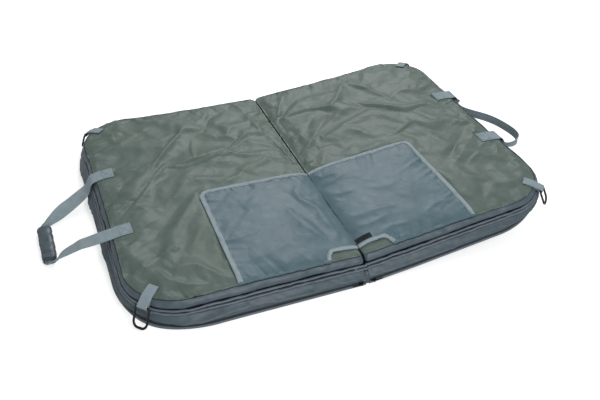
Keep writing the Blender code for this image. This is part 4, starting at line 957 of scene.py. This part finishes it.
def flap_plan(meeting):
    """Rows of the flap from front to back; each starts at the crease or at the mouth's side."""
    open_length = half_width - mouth_depth - flap_back - flap_corner
    ys = np.concatenate([
        -half_width + flap_setback + np.linspace(0, mouth_depth - flap_setback, mouth_rows),
        -half_width + mouth_depth + np.linspace(0.002, open_length, open_rows),
        -flap_back - flap_corner * (1 - np.sin(np.linspace(0.06, math.pi / 2, round_rows))),
    ])
    shares = np.linspace(0, 1, flap_columns)
    shares = shares - 0.08 * np.sin(2 * math.pi * shares) / math.pi
    xs = []
    for y in ys:
        inset = y + half_width
        beyond = max(y + flap_back + flap_corner, 0)
        cut = flap_corner - math.sqrt(max(flap_corner ** 2 - beyond ** 2, 0))
        row = meeting + (flap_half_width - cut - meeting) * shares
        if inset < mouth_depth:
            bend = max(mouth_corner ** 2 - max(inset - mouth_depth + mouth_corner, 0) ** 2, 0)
            side = mouth_half_width - mouth_taper * inset / mouth_depth - mouth_corner + math.sqrt(bend)
            row = np.maximum(row, side)
        xs.append(row)
    return np.array(xs), np.repeat(ys[:, None], len(shares), 1)


def drop_folded_faces(piece):
    """Take out the faces that the mouth's side has closed up."""
    work = bmesh.new()
    work.from_mesh(piece.data)
    bmesh.ops.remove_doubles(work, verts=work.verts, dist=0.00002)
    bmesh.ops.dissolve_degenerate(work, edges=work.edges, dist=0.00002)
    work.to_mesh(piece.data)
    work.free()


flap_nylon = coated_cloth(
    "flap_nylon", ("3F555D", "506872", "68828D"), gloss=0.46, crinkle=0.0015, sheen=0.36)


def on_flap(x, y, hand, lift=0.0):
    """Places on the flap's face, lifted a little from it."""
    place = drawn_in(np.stack([x, y], -1), seam_height)
    place[..., 2] += flap_relief(x, y, hand) + flap_thickness + lift
    return place


def tucked(upper):
    """The left half's crease edge turned down between the tapes, as a lip of two columns."""
    inset, clear = upper[:, :1, 1:2] + half_width, tape_width + 0.0015
    behind_mouth = (upper[:, :1, :1] < 0.01) & (inset > mouth_depth + clear)
    free = behind_mouth & (inset < half_width - flap_back - clear)
    reaches = np.where(free, tuck_reach, tuck_clear)
    tuck = upper[:, :1] - np.concatenate([reaches, 0 * reaches, reaches * 0.5], -1)
    return np.concatenate([tuck, upper[:, :1] - np.array((tuck_clear, 0, 0.0006)), upper], 1)


for hand in ("left", "right"):
    x, y = flap_plan(flap_meeting[hand])
    upper = on_flap(x, y, hand)
    hangs = []
    for reach, drop in hanging_rows:
        row = upper[0].copy()
        row[:, 1] -= reach + 0.0005 * noise_along(x[0], 0.0065, 171)
        row[:, 2] -= drop + 0.0012 * noise_along(x[0], 0.009, 172)
        hangs.append(row)
    upper = np.concatenate([hangs, upper])
    # A dark cord along the foot of the hanging cloth is painted shade, where the flap meets the wall.
    foot = hangs[0][x[0] > x[0].min() + 0.0002] + (0, -0.0009, 0.0002)
    fold = laid(np.array([
        foot + (0, foot_line_radius * math.cos(a), foot_line_radius * math.sin(a)) for a in circle(6)
    ]), hand)
    shadow = grid_piece(
        hand + "_flap_seam_line", fold, seam_shadow.material, closed_rows=True, turned=hand == "left")
    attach(shadow, hand + "_flap")
    if hand == "left":
        upper = tucked(upper)
    x, y = flap_plan(underside_meeting)
    lower = drawn_in(np.stack([x, y], -1), seam_height)
    lower[..., 2] += flap_relief(x, y, hand) + underside_clear
    shell = grid_piece(hand + "_flap_cloth", laid(upper, hand), flap_nylon, turned=hand == "left")
    under = grid_piece(hand + "_flap_underside", laid(lower, hand), lining_nylon, turned=hand == "right")
    drop_folded_faces(shell)
    drop_folded_faces(under)
    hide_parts(hand + "_flap_panel")
    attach(shell, hand + "_flap")
    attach(under, hand + "_flap")


# Webbing tape round the flap
# Soft woven tape, folded over the cloth and sewn through with one row of stitches. It is
# much the same grey-blue as the handles.
tape_wave, tape_seed, stitch_inset, stitch_lift = 0.0006, 17, 0.0022, 0.0016


def webbing_cloth(name, codes):
    """Woven webbing: ribs across it in a slanting twill, and patches rubbed paler."""
    deep, middle, pale = (shade(code) for code in codes)
    web = Finish(name, roughness=0.78, specular_ior_level=0.3)
    along, across = web.cut()
    worn = web.noise(60.0, 4.0)
    slant = web.wave(0.0017, along + across * 0.9)
    cross = web.wave(0.0017, along - across * 0.9)
    ribs = web.wave(0.0011, across)
    weave = slant * cross * 0.7 + ribs * 0.3
    tone = web.mixed(weave, deep, middle)
    web.set(base_color=web.mixed(worn * 0.6, tone, pale))
    web.set(normal=web.bumped(weave, 0.00035, 0.55))
    return web.material


tape_webbing = webbing_cloth("binding_tape", ("7C8D94", "9CADB3", "B0BEC3"))
strap_webbing = webbing_cloth("strap_webbing", ("6C7E85", "93A5AC", "ABBAC0"))
thread_finish = Finish("sewing_thread", roughness=0.6)
worn_thread = thread_finish.noise(300.0)
thread_finish.set(base_color=thread_finish.mixed(worn_thread, shade("64727A"), shade("7C8B93")))


def tape_grid(plan, inward, hand, width):
    """Tape folded over an edge: its section goes round the edge, above and below the cloth."""
    lengths = run_lengths(plan)
    top = flap_thickness + 0.0003
    section = [
        (width, top + 0.0003), (width * 0.97, top + tape_wall), (width * 0.5, top + tape_wall * 1.15),
        (0.0015, top + tape_wall * 1.1), (0.0, top + tape_wall * 0.8), (-0.0012, top),
        (-0.0015, flap_thickness * 0.5), (-0.0012, 0.0), (0.0, -0.0003), (width, -0.0003),
    ]
    rows = []
    for reach, lift in section:
        place = plan + inward * reach
        row = drawn_in(place, seam_height)
        row[:, 2] += flap_relief(place[:, 0], place[:, 1], hand) + lift
        row[:, 2] += tape_wave * noise_along(lengths, 0.020, tape_seed)
        rows.append(row)
    return np.array(rows)


def stitch_row(name, line, spacing, length, radius, body):
    """A row of short rounded stitches along a line of points on the cloth."""
    distance = run_lengths(line)
    work = bmesh.new()
    for start in np.arange(spacing * 0.5, distance[-1] - length, spacing):
        ends = [Vector([np.interp(start + t, distance, line[:, k]) for k in range(3)]) for t in (0, length)]
        way = (ends[1] - ends[0]).normalized()
        side = way.orthogonal().normalized()
        other = way.cross(side)
        rings = []
        for share, size in ((0.0, 0.35), (0.18, 0.9), (0.5, 1.0), (0.82, 0.9), (1.0, 0.35)):
            centre = ends[0].lerp(ends[1], share)
            rings.append([
                work.verts.new(centre + (side * math.cos(a) + other * math.sin(a)) * radius * size)
                for a in circle(5)
            ])
        for first, second in zip(rings, rings[1:]):
            for i in range(5):
                work.faces.new((first[i], first[(i + 1) % 5], second[(i + 1) % 5], second[i]))
        work.faces.new(rings[0][::-1])
        work.faces.new(rings[-1])
    mesh = bpy.data.meshes.new(name)
    work.to_mesh(mesh)
    work.free()
    mesh.materials.append(thread_finish.material)
    for polygon in mesh.polygons:
        polygon.use_smooth = True
    stitches = bpy.data.objects.new(name, mesh)
    bpy.context.scene.collection.objects.link(stitches)
    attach(stitches, body)


def outer_tape_plan(meeting):
    """Along the flap's back from the crease, round its corner and down its side."""
    centre = np.array((flap_half_width - flap_corner, -flap_back - flap_corner))
    back = straight((meeting, -flap_back), (centre[0], -flap_back), 80)
    turn = quarter_round(centre, flap_corner, 0, 14)[::-1][1:]
    side = straight((flap_half_width, centre[1]), (flap_half_width, flap_setback - half_width), 90)[1:]
    inward = np.concatenate([
        np.tile((0.0, -1.0), (len(back), 1)),
        (centre - turn) / flap_corner,
        np.tile((-1.0, 0.0), (len(side), 1)),
    ])
    return np.concatenate([back, turn, side]), inward


def mouth_tape_plan(meeting):
    """Up the mouth's slanting side, round its corner and along to the crease."""
    foot = np.array((mouth_half_width, flap_setback - half_width))
    head = np.array((mouth_half_width - mouth_taper, mouth_depth - half_width))
    up = (head - foot) / np.linalg.norm(head - foot)
    centre = head - mouth_corner
    leg = straight(foot, head - up * mouth_corner, 14)
    turn = quarter_round(centre, mouth_corner, 0, 10)[1:]
    across = straight((centre[0], head[1]), (meeting, head[1]), 34)[1:]
    inward = np.concatenate([
        np.tile((up[1], -up[0]), (len(leg), 1)),
        (turn - centre) / mouth_corner,
        np.tile((0.0, 1.0), (len(across), 1)),
    ])
    return np.concatenate([leg, turn, across]), inward


for hand, meeting in flap_meeting.items():
    for name, node, width, (plan, inward) in (
        ("flap_tape", "flap_binding", tape_width, outer_tape_plan(meeting)),
        ("mouth_tape", "mouth_binding", mouth_tape_width, mouth_tape_plan(meeting)),
    ):
        grid = tape_grid(plan, inward, hand, width)
        turned = (hand == "left") != (name == "mouth_tape")
        tape = grid_piece(f"{hand}_{name}", laid(grid, hand), tape_webbing, closed_rows=True, turned=turned)
        close_ends(tape)
        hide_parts(f"{hand}_{node}")
        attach(tape, hand + "_flap")
        place = plan + inward * (width - stitch_inset)
        line = laid(on_flap(place[:, 0], place[:, 1], hand, stitch_lift), hand)
        stitch_row(f"{hand}_{name}_stitches", line, 0.0042, 0.0030, 0.00030, hand + "_flap")


# Woven tag
# A small plain black tag of woven satin is sewn flat on the flap, just behind the mouth's
# tape, by a row of stitches all round.
tag_start, tag_length, tag_width, tag_lift, tag_seam = 0.0018, 0.040, 0.016, 0.0012, 0.0015
tag_front = mouth_depth + mouth_tape_width + 0.0030 - half_width
tag_finish = Finish("black_tag", roughness=0.75, specular_ior_level=0.2)
along, across = tag_finish.cut()
satin = tag_finish.wave(0.0007, along) * tag_finish.wave(0.0009, across)
tag_finish.set(base_color=tag_finish.mixed(satin, shade("15181B"), shade("2B2F33")))
tag_finish.set(normal=tag_finish.bumped(satin, 0.0002, 0.5))
tag_columns = np.linspace(tag_start, tag_start + tag_length, 16)
x, y = np.meshgrid(tag_columns, np.linspace(tag_front, tag_front + tag_width, 8))
face = on_flap(x, y, "right", tag_lift)
face = np.concatenate([face[:, :1] - (0.0003, 0, 0.0010), face, face[:, -1:] + (0.0003, 0, -0.0010)], 1)
face = np.concatenate([face[:1] - (0, 0.0003, 0.0010), face, face[-1:] + (0, 0.0003, -0.0010)], 0)
tag = grid_piece("woven_tag", laid(face, "right"), tag_finish.material)
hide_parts("label")
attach(tag, "right_flap")


def run_through(corners, count):
    """Straight runs from corner to corner, each in so many steps."""
    return np.concatenate([straight(a, b, count)[:-1] for a, b in zip(corners, corners[1:])])


seam_right, seam_back = tag_length - tag_seam, tag_width - tag_seam
tag_corners = np.array([
    (tag_seam, tag_seam), (seam_right, tag_seam), (seam_right, seam_back),
    (tag_seam, seam_back), (tag_seam, tag_seam),
])
seam = run_through(tag_corners, 8) + (tag_start, tag_front)
line = laid(on_flap(seam[:, 0], seam[:, 1], "right", 0.0014), "right")
stitch_row("tag_stitches", line, 0.0028, 0.0019, 0.00022, "right_flap")


# Carry handles
# One length of 40 mm webbing makes each handle. Its ends are box-stitched on the green top
# and it hangs over the end of the mat; the left one is gathered in a padded grip.
strap_width, strap_thickness, strap_lift, floor_clear = 0.040, 0.002, 0.0004, 0.0002
tail_length, tail_setback, tail_clearance = 0.047, 0.0015, 0.0003
handle_axis_x, handle_axis_z, grip_level = 0.53144, 0.07198, 0.0055
handle_reach = {"left": 0.144, "right": 0.112}
# Each place of a loop: shares of the reach, of the spread and of the height, then the
# heading and tilt of the way across the strap in degrees, and the share of its width.
loop_shares = {
    "left": (
        (0.0, 1.0, 1.0, 90, 0, 1), (0.045, 0.995, 0.975, 90, 0, 1), (0.085, 0.99, 0.91, 90, 0, 1),
        (0.115, 0.985, 0.81, 91, 1, 1), (0.14, 0.98, 0.685, 92, 2, 1), (0.175, 0.968, 0.575, 95, 3, 1),
        (0.225, 0.942, 0.485, 99, 5, 1), (0.33, 0.875, 0.385, 105, 7, 1), (0.475, 0.767, 0.295, 110, 9, 1),
        (0.62, 0.654, 0.23, 118, 18, 0.92), (0.76, 0.52, 0.175, 130, 26, 0.76),
        (0.87, 0.42, 0.13, 146, 28, 0.56),
        (0.95, 0.35, 0.08, 166, 16, 0.42), (1.0, 0.28, 0.05, 180, 0, 0.42),
        (1.0, -0.10, 0.05, 180, 0, 0.55),
        (1.0, -0.47, 0.05, 180, 0, 0.6), (1.0, -0.80, 0.06, 184, 0, 0.62),
        (0.985, -0.875, 0.10, 196, 4, 0.70),
        (0.955, -0.925, 0.18, 212, 10, 0.84), (0.915, -0.94, 0.27, 230, 14, 0.95),
        (0.86, -0.935, 0.36, 244, 14, 1),
        (0.79, -0.925, 0.44, 253, 12, 1), (0.70, -0.915, 0.515, 259, 9, 1),
        (0.60, -0.915, 0.605, 265, 8, 1),
        (0.50, -0.93, 0.72, 268, 5, 1), (0.36, -0.96, 0.81, 269, 3, 1), (0.25, -0.98, 0.88, 270, 1, 1),
        (0.15, -0.995, 0.945, 270, 0, 1), (0.065, -1.0, 0.985, 270, 0, 1), (0.0, -1.0, 1.0, 270, 0, 1),
    ),
    "right": (
        (0.0, 1.0, 1.0, 90, 0, 1), (0.06, 1.0, 0.99, 90, 0, 1), (0.12, 0.995, 0.95, 90, 0, 1),
        (0.165, 0.99, 0.86, 91, 2, 1), (0.185, 0.98, 0.75, 92, 6, 1), (0.175, 0.955, 0.63, 95, 16, 1),
        (0.15, 0.90, 0.52, 100, 38, 0.96), (0.135, 0.82, 0.43, 105, 64, 0.9),
        (0.15, 0.72, 0.37, 112, 82, 0.85),
        (0.195, 0.61, 0.33, 118, 90, 0.82), (0.275, 0.50, 0.31, 124, 94, 0.8),
        (0.385, 0.38, 0.285, 130, 97, 0.78),
        (0.52, 0.245, 0.245, 138, 98, 0.78), (0.68, 0.06, 0.185, 147, 98, 0.8),
        (0.80, -0.15, 0.13, 156, 98, 0.82),
        (0.88, -0.40, 0.09, 168, 98, 0.85), (0.915, -0.62, 0.07, 184, 96, 0.86),
        (0.895, -0.80, 0.065, 205, 92, 0.86),
        (0.81, -0.93, 0.08, 226, 84, 0.88), (0.66, -1.01, 0.12, 240, 72, 0.92),
        (0.49, -1.04, 0.20, 250, 55, 0.96),
        (0.34, -1.04, 0.33, 258, 36, 1), (0.235, -1.03, 0.49, 263, 18, 1), (0.19, -1.02, 0.65, 267, 7, 1),
        (0.17, -1.01, 0.79, 269, 2, 1), (0.125, -1.0, 0.90, 270, 0, 1), (0.06, -1.0, 0.975, 270, 0, 1),
        (0.0, -1.0, 1.0, 270, 0, 1),
    ),
}


def tail_places(side):
    """The sewn end of a handle on the top, from its cut edge out to the seam."""
    places = []
    for inset in (tail_length, 0.040, 0.032, 0.024, 0.017, 0.011, 0.0065, 0.0035, tail_setback):
        place = drawn_in(np.array((half_length - inset, side * handle_spread)), seam_height)
        place[2] = place[2] + crown(inset) + tail_clearance + strap_thickness / 2 + strap_lift
        places.append(place)
    return places


def smooth_path(points, count):
    """A smooth run through a few points, evenly spaced."""
    points = np.array(points, float)
    padded = np.concatenate([2 * points[:1] - points[1:2], points, 2 * points[-1:] - points[-2:-1]])
    dense = []
    for a, b, c, d in zip(padded, padded[1:], padded[2:], padded[3:]):
        for t in np.linspace(0, 1, 16, endpoint=False):
            bend = (2 * b) + (c - a) * t + (2 * a - 5 * b + 4 * c - d) * t ** 2
            dense.append(0.5 * (bend + (3 * b - a - 3 * c + d) * t ** 3))
    dense = np.array(dense + [points[-1]])
    lengths = run_lengths(dense[:, :3])
    places = np.linspace(0, lengths[-1], count)
    return np.stack([np.interp(places, lengths, dense[:, k]) for k in range(points.shape[1])], -1)


def handle_path(hand):
    """The whole strap: back tail, loop and front tail, with the way across it at each place."""
    stations = [(*place, 0.0, 1.0, 0.0, 1.0) for place in tail_places(1)]
    reach = half_length + handle_reach[hand] - handle_axis_x
    for out, spread, level, heading, tilt, width in loop_shares[hand][1:-1]:
        heading, tilt = math.radians(heading), math.radians(tilt)
        way = (-math.cos(heading) * math.cos(tilt), math.sin(heading) * math.cos(tilt), math.sin(tilt))
        height = grip_level + (handle_axis_z - grip_level) * level
        stations.append((handle_axis_x + reach * out, handle_spread * spread, height, *way, width))
    stations += [(*place, 0.0, -1.0, 0.0, 1.0) for place in reversed(tail_places(-1))]
    return smooth_path(stations, 300)


def strap_grid(stations, width, thickness):
    """A webbing strap with rounded edges, swept along its stations."""
    places, ways, shares = stations[:, :3], stations[:, 3:6], stations[:, 6]
    ways = ways / np.linalg.norm(ways, axis=1, keepdims=True)
    travel = np.gradient(places, axis=0)
    travel /= np.linalg.norm(travel, axis=1, keepdims=True)
    ways = ways - travel * np.sum(ways * travel, axis=1, keepdims=True)
    ways /= np.linalg.norm(ways, axis=1, keepdims=True)
    faces = np.cross(travel, ways)
    section = [(s, 1.0) for s in np.linspace(-0.94, 0.94, 9)] + [(1.0, 0.45), (1.0, -0.45)]
    section += [(s, -1.0) for s in np.linspace(0.94, -0.94, 9)] + [(-1.0, -0.45), (-1.0, 0.45)]
    half = (width / 2 * shares)[:, None]
    gather = 1 - shares
    rows = []
    for across, up in section:
        ripple = 0.0035 * gather * math.cos(across * math.pi * 1.5)
        rows.append(places + ways * half * across + faces * (thickness / 2 * up + ripple)[:, None])
    return np.array(rows)


# The box of stitches on a tail, from its cut edge, with a cross from corner to corner.
box_corners = [(-0.0040, -0.0165), (-0.0040, 0.0165), (-0.030, 0.0165), (-0.030, -0.0165)]
stitch_box = run_through(np.array(box_corners + [box_corners[i] for i in (0, 2, 3, 1)]), 10)
bend_line = np.array([(half_length - 0.008, 0.0, seam_height), (half_length + 0.010, 0.0, seam_height)])

for hand in ("left", "right"):
    stations = handle_path(hand)
    strap_skin = laid(strap_grid(stations, strap_width, strap_thickness), hand)
    strap_skin[..., 2] = np.maximum(strap_skin[..., 2], floor_clear)
    strap = grid_piece(
        hand + "_handle_strap", strap_skin, strap_webbing, closed_rows=True, turned=hand == "right")
    close_ends(strap)
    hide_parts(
        hand + "_handle_loop", hand + "_handle_tail_front", hand + "_handle_tail_back")
    inner, outer = laid(bend_line, hand)
    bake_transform(strap)
    for end, side in (("front", -1), ("back", 1)):
        plan = np.stack([
            half_length - tail_length - stitch_box[:, 0], side * handle_spread + stitch_box[:, 1],
        ], -1)
        seam = drawn_in(plan, seam_height)
        seam[:, 2] += crown(half_length - plan[:, 0]) + tail_clearance + strap_thickness + 0.0006
        line = laid(seam, hand)
        stitch_row(f"{hand}_handle_{end}_stitches", line, 0.0046, 0.0034, 0.00036, hand + "_half")


# Padded grip
# A sleeve of dark cloth is wrapped round the gathered strap and closed with a flat leaf,
# which has a row of stitches round its edge. Both are a little crumpled.
grip_middle_y, grip_length, grip_rise = -0.0342, 0.128, 0.0046
grip_half_wide, grip_half_tall, grip_wall = 0.0165, 0.0098, 0.0030
grip_crumple, grip_fine_crumple, leaf_outside, leaf_inside = 0.0010, 0.0005, 0.0026, 0.0009
grip_cloth = coated_cloth(
    "grip_cloth", ("303C44", "414E57", "64747E"), gloss=0.36, crinkle=0.0016, thread=0.0016)


def grip_skin(share, turn, swell=0.0):
    """A place on the wrapped sleeve, with its crumples, at a share of its length and a turn."""
    y = grip_middle_y + share * grip_length
    crumple = grip_crumple * seeded_noise(turn * 0.016 + 0.4 * y, y, 0.013, 211)
    crumple += grip_fine_crumple * seeded_noise(turn * 0.016 - 0.7 * y, y, 0.006, 212)
    shrink = 1 - 0.10 * clamped((np.abs(share) - 0.40) / 0.10)
    wide = (grip_half_wide + crumple) * shrink + swell
    tall = (grip_half_tall + crumple) * shrink + swell
    squared = np.sign(np.cos(turn)) * np.abs(np.cos(turn)) ** 0.8
    x = half_length + handle_reach["left"] + wide * squared
    return np.stack([x, y + 0 * turn, grip_level + grip_rise + tall * np.sin(turn)], -1)


turns = circle(48)
rows = [grip_skin(share, turns) for share in np.linspace(-0.5, 0.5, 60)]
rows += [grip_skin(share * 0.99, turns, -grip_wall) for share in (0.5, -0.5)]
rows = laid(np.array(rows), "left")
rows[..., 2] = np.maximum(rows[..., 2], floor_clear)
sleeve = grid_piece("padded_grip", rows, grip_cloth, closed_rows=True, closed_columns=True)
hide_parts("grip_sleeve")
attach(sleeve, "left_handle")

leaf_shares, leaf_turns = np.linspace(-0.47, 0.47, 48), np.radians(np.linspace(30, 158, 26))
outer = [grip_skin(share, leaf_turns, leaf_outside) for share in leaf_shares]
inner = [grip_skin(share, leaf_turns, leaf_inside) for share in leaf_shares]
leaf_skin = laid(np.concatenate([outer, np.array(inner)[:, ::-1]], 1), "left")
leaf = grid_piece("grip_closing_leaf", leaf_skin, grip_cloth, closed_columns=True)
close_ends(leaf)
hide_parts("grip_leaf")
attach(leaf, "grip_leaf")
edge = np.array([(-0.45, 38), (0.45, 38), (0.45, 150), (-0.45, 150), (-0.45, 38)], float)
edge = run_through(edge, 24)
seam = np.array([grip_skin(share, np.radians(np.array([turn])), 0.0028)[0] for share, turn in edge])
stitch_row("grip_leaf_stitches", laid(seam, "left"), 0.0042, 0.0030, 0.00028, "grip_leaf")


# Corner tabs and rings
# A short fold of webbing is sewn on each outer corner and holds a ring bent from black
# steel wire, for pegs and cords.
tab_width, tab_thickness, tab_length, tab_underlap, tab_turn = 0.025, 0.0016, 0.028, 0.018, 0.002
ring_outset, ring_drop, ring_wire, ring_lean = 0.020, 0.012, 0.0027, math.radians(20)
ring_inner_width, ring_inner_depth, ring_bar_bend = 0.028, 0.040, 0.004
tab_slope = math.radians(40)
steel = Finish("black_steel", metallic=0.85, specular_ior_level=0.5)
scuffs = steel.noise(220.0, 3.0)
steel.set(base_color=steel.mixed(scuffs, shade("1B1C20"), shade("3A3B41")))
steel.set(roughness=0.22 + 0.16 * scuffs, coat_weight=0.3 * scuffs)
steel.set(normal=steel.bumped(scuffs, 0.00004, 0.3))


def tab_path(side):
    """A tab from its sewn upper end, round the ring's bar and back under itself."""
    out = np.array((1, side, 0)) / math.sqrt(2)
    along = np.array((-side, 1, 0)) / math.sqrt(2) * side

    def on_top(outset, lift):
        plan = corner_place(side, outset)
        place = drawn_in(plan, seam_height)
        return np.array((place[0], place[1], place[2] + float(crown(np.array(-outset))) + lift))

    lower = 0.0012 + tab_thickness / 2
    upper = lower + 0.0003 + tab_thickness
    bar = drawn_in(corner_place(side, ring_outset), seam_height)
    bar[2] = seam_height - ring_drop
    turn = ring_wire + 0.0003 + tab_thickness / 2
    places = [on_top(-inset, upper) for inset in (tab_length, 0.020, 0.012, 0.006, 0.002)]
    places += [on_top(tab_turn, upper + 0.0002)]
    for angle in np.linspace(math.pi / 2 - tab_slope, -math.pi / 2 - tab_slope, 9):
        places.append(bar + out * turn * math.cos(angle) + np.array((0, 0, turn * math.sin(angle))))
    places.append(on_top(tab_thickness, lower - 0.0003))
    places += [on_top(-inset, lower) for inset in (0.002, 0.006, 0.012, tab_underlap)]
    return np.array([(*place, *along, 1.0) for place in places]), out, along, bar


def ring_line(bar, out, along):
    """The ring's wire: a straight bar, two straight sides and a rounded foot."""
    down = np.array((0, 0, -1)) * math.cos(ring_lean) + out * math.sin(ring_lean)
    wide, deep = ring_inner_width / 2 + ring_wire, ring_inner_depth + 2 * ring_wire
    bend = wide * 0.72
    points = []
    for centre, radius, start, stop, count in (
        ((wide - ring_bar_bend, ring_bar_bend), ring_bar_bend, -90, 0, 5),
        ((wide - bend, deep - bend), bend, 0, 90, 12),
        ((-(wide - bend), deep - bend), bend, 90, 180, 12),
        ((-(wide - ring_bar_bend), ring_bar_bend), ring_bar_bend, 180, 270, 5),
    ):
        for angle in np.radians(np.linspace(start, stop, count)):
            points.append((centre[0] + radius * math.cos(angle), centre[1] + radius * math.sin(angle)))
    return np.array([bar + along * a + down * d for a, d in np.array(points)])


def tube_grid(line, radius):
    """A round wire along a closed line."""
    ahead_of = np.roll(line, -1, 0) - np.roll(line, 1, 0)
    ahead_of /= np.linalg.norm(ahead_of, axis=1, keepdims=True)
    flat = np.cross(line[0] - line[len(line) // 2], line[len(line) // 4] - line[len(line) // 2])
    flat /= np.linalg.norm(flat)
    side = np.cross(ahead_of, flat)
    return np.array([line + side * radius * math.cos(a) + flat * radius * math.sin(a) for a in circle(12)])


for hand in ("left", "right"):
    for end, side in (("front", -1), ("back", 1)):
        path, out, along, bar = tab_path(side)
        tab_skin = laid(strap_grid(smooth_path(path, 90), tab_width, tab_thickness), hand)
        tab = grid_piece(
            f"{hand}_{end}_corner_tab", tab_skin, strap_webbing, closed_rows=True, turned=hand == "right")
        close_ends(tab)
        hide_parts(f"{hand}_{end}_tab")
        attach(tab, hand + "_half")
        wire = laid(tube_grid(ring_line(bar, out, along), ring_wire), hand)
        ring = grid_piece(
            f"{hand}_{end}_wire_ring", wire, steel.material,
            closed_rows=True, closed_columns=True, turned=hand == "right")
        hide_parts(f"{hand}_{end}_ring")
        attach(ring, f"{hand}_{end}_ring")
        seams = []
        for across in (-0.0095, 0.0095):
            row = []
            for inset in np.linspace(tab_length - 0.003, 0.004, 10):
                plan = corner_place(side, -inset) + along[:2] * across
                place = drawn_in(plan, seam_height)
                place[2] += crown(np.array(inset)) + 0.0009 + 2 * tab_thickness
                row.append(place)
            seams.append(row)
        line = laid(np.array(seams[0] + seams[1][::-1]), hand)
        stitch_row(f"{hand}_{end}_tab_stitches", line, 0.0040, 0.0028, 0.00030, hand + "_half")


# Zip sliders
# Two cast sliders stand close together at the crease, each with a small flat pull. They
# keep the meshes of the frame and take the black finish of the rings.
for node in ("left_zip_slider", "right_zip_slider", "left_zip_pull", "right_zip_pull"):
    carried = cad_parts[node]
    carried.data.materials.clear()
    carried.data.materials.append(steel.material)


# Cloth across the crease
# The hems run on from one half to the other in soft folds, below them so does one strip of
# slate nylon down to the ground, and a pleat of dark cloth closes the crease between the tops.
def bridged(name, left_run, right_run, finish, dip):
    """Cloth between the crease end of a left piece and of a right one, as the halves lie."""
    left_end, right_end = laid(left_run, "left"), laid(right_run, "right")
    rows = []
    for share in np.linspace(0, 1, 14):
        eased = share * share * (3 - 2 * share)
        row = left_end * (1 - eased) + right_end * eased
        row[:, 0] = (left_end * (1 - share) + right_end * share)[:, 0]
        row += np.array(dip) * math.sin(math.pi * share)
        rows.append(row)
    piece = grid_piece(name, np.array(rows), finish, closed_columns=True)
    left_x, right_x = left_end[:, 0].mean(), right_end[:, 0].mean()
    start, stop = (left_x - 0.001, 0, 0.04), (right_x + 0.001, 0, 0.04)
    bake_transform(piece)


# Each level's height, and the share of the base's flare that it has.
band_strip = (
    (0.0005, 1.1), (0.0065, 1.06), (0.0126, 1.03), (0.0195, 1.13), (0.0250, 1.10), (0.0335, 0.72),
)
for end, column, side in (("front", 0, -1), ("back", -1, 1)):
    for name, middle, lip, seed in hems:
        left_roll = roll_grid(lip, middle, seed + hem_seeds["left"])[:, column]
        right_roll = roll_grid(lip, middle, seed + hem_seeds["right"])[:, column]
        bridged(f"{end}_{name}_across", left_roll, right_roll, rolled_nylon, (0, 0, -0.0012))
    strip = []
    for height, flare in band_strip:
        strip.append((crease_gap_half, side * (half_width + flare * base_flare - 0.0002), height))
    strip = np.array(strip + [(x, y - side * 0.0012, z) for x, y, z in reversed(strip)])
    bridged(f"{end}_band_across", strip, strip, slate_nylon, (0, 0.003 * -side, 0.0008))

pleat, pleat_inset = [], 0.012
for y in np.linspace(-half_width + pleat_inset, half_width - pleat_inset, 60):
    low = 0.0012 * float(seeded_noise(y, 0.0, 0.05, 9))
    pleat.append([
        (-0.0014, y, 0.070), (-0.0012, y, 0.060), (0.0022, y, 0.052 + low),
        (0.0062, y, 0.060), (0.0030, y, 0.0705),
    ])
pleat = np.array(pleat)
crease_cloth = grid_piece("crease_pleat", pleat, lining_nylon)
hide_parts("spine_gusset")
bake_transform(crease_cloth)


# Floor, light and finish
# White paper that runs on for metres, lit by a broad soft light behind the mat, a weaker
# one over the camera's shoulder and an even glow from all round.
floor_finish = Finish("floor_paper", base_color=(0.86, 0.86, 0.86), roughness=0.9, specular_ior_level=0.1)
seen = floor_finish.node("LightPath", output=0)
paper_glow = floor_finish.mixed(seen, (0.0, 0.0, 0.0), (0.55, 0.55, 0.55))
floor_finish.set(emission_color=paper_glow, emission_strength=1.0)
bpy.ops.mesh.primitive_plane_add(size=24, location=(0, 0, -0.0004))
floor = bpy.context.object
floor.name = "floor"
floor.data.materials.append(floor_finish.material)

world = bpy.data.worlds.new("studio")
bpy.context.scene.world = world
world.use_nodes = True
background = world.node_tree.nodes["Background"]
path = world.node_tree.nodes.new("ShaderNodeLightPath")
brightness = 1.1 * Wire(path.outputs[0]) + (1 - Wire(path.outputs[0])) * 0.46
world.node_tree.links.new(brightness.socket, background.inputs[1])
background.inputs[0].default_value = (1.0, 1.0, 1.0, 1.0)
for name, place, size, power in (
    ("back_light", (0.9, 2.1, 2.0), 1.4, 33.0),
    ("front_light", (0.1, -2.4, 2.2), 1.2, 36.0),
):
    lamp = bpy.data.lights.new(name, "AREA")
    lamp.shape = "DISK"
    lamp.size, lamp.energy = size, power
    light = bpy.data.objects.new(name, lamp)
    bpy.context.scene.collection.objects.link(light)
    light.location = place
    light.rotation_euler = (Vector((0, 0, 0.05)) - Vector(place)).to_track_quat("-Z", "Y").to_euler()
bpy.context.scene.view_settings.view_transform = "Standard"
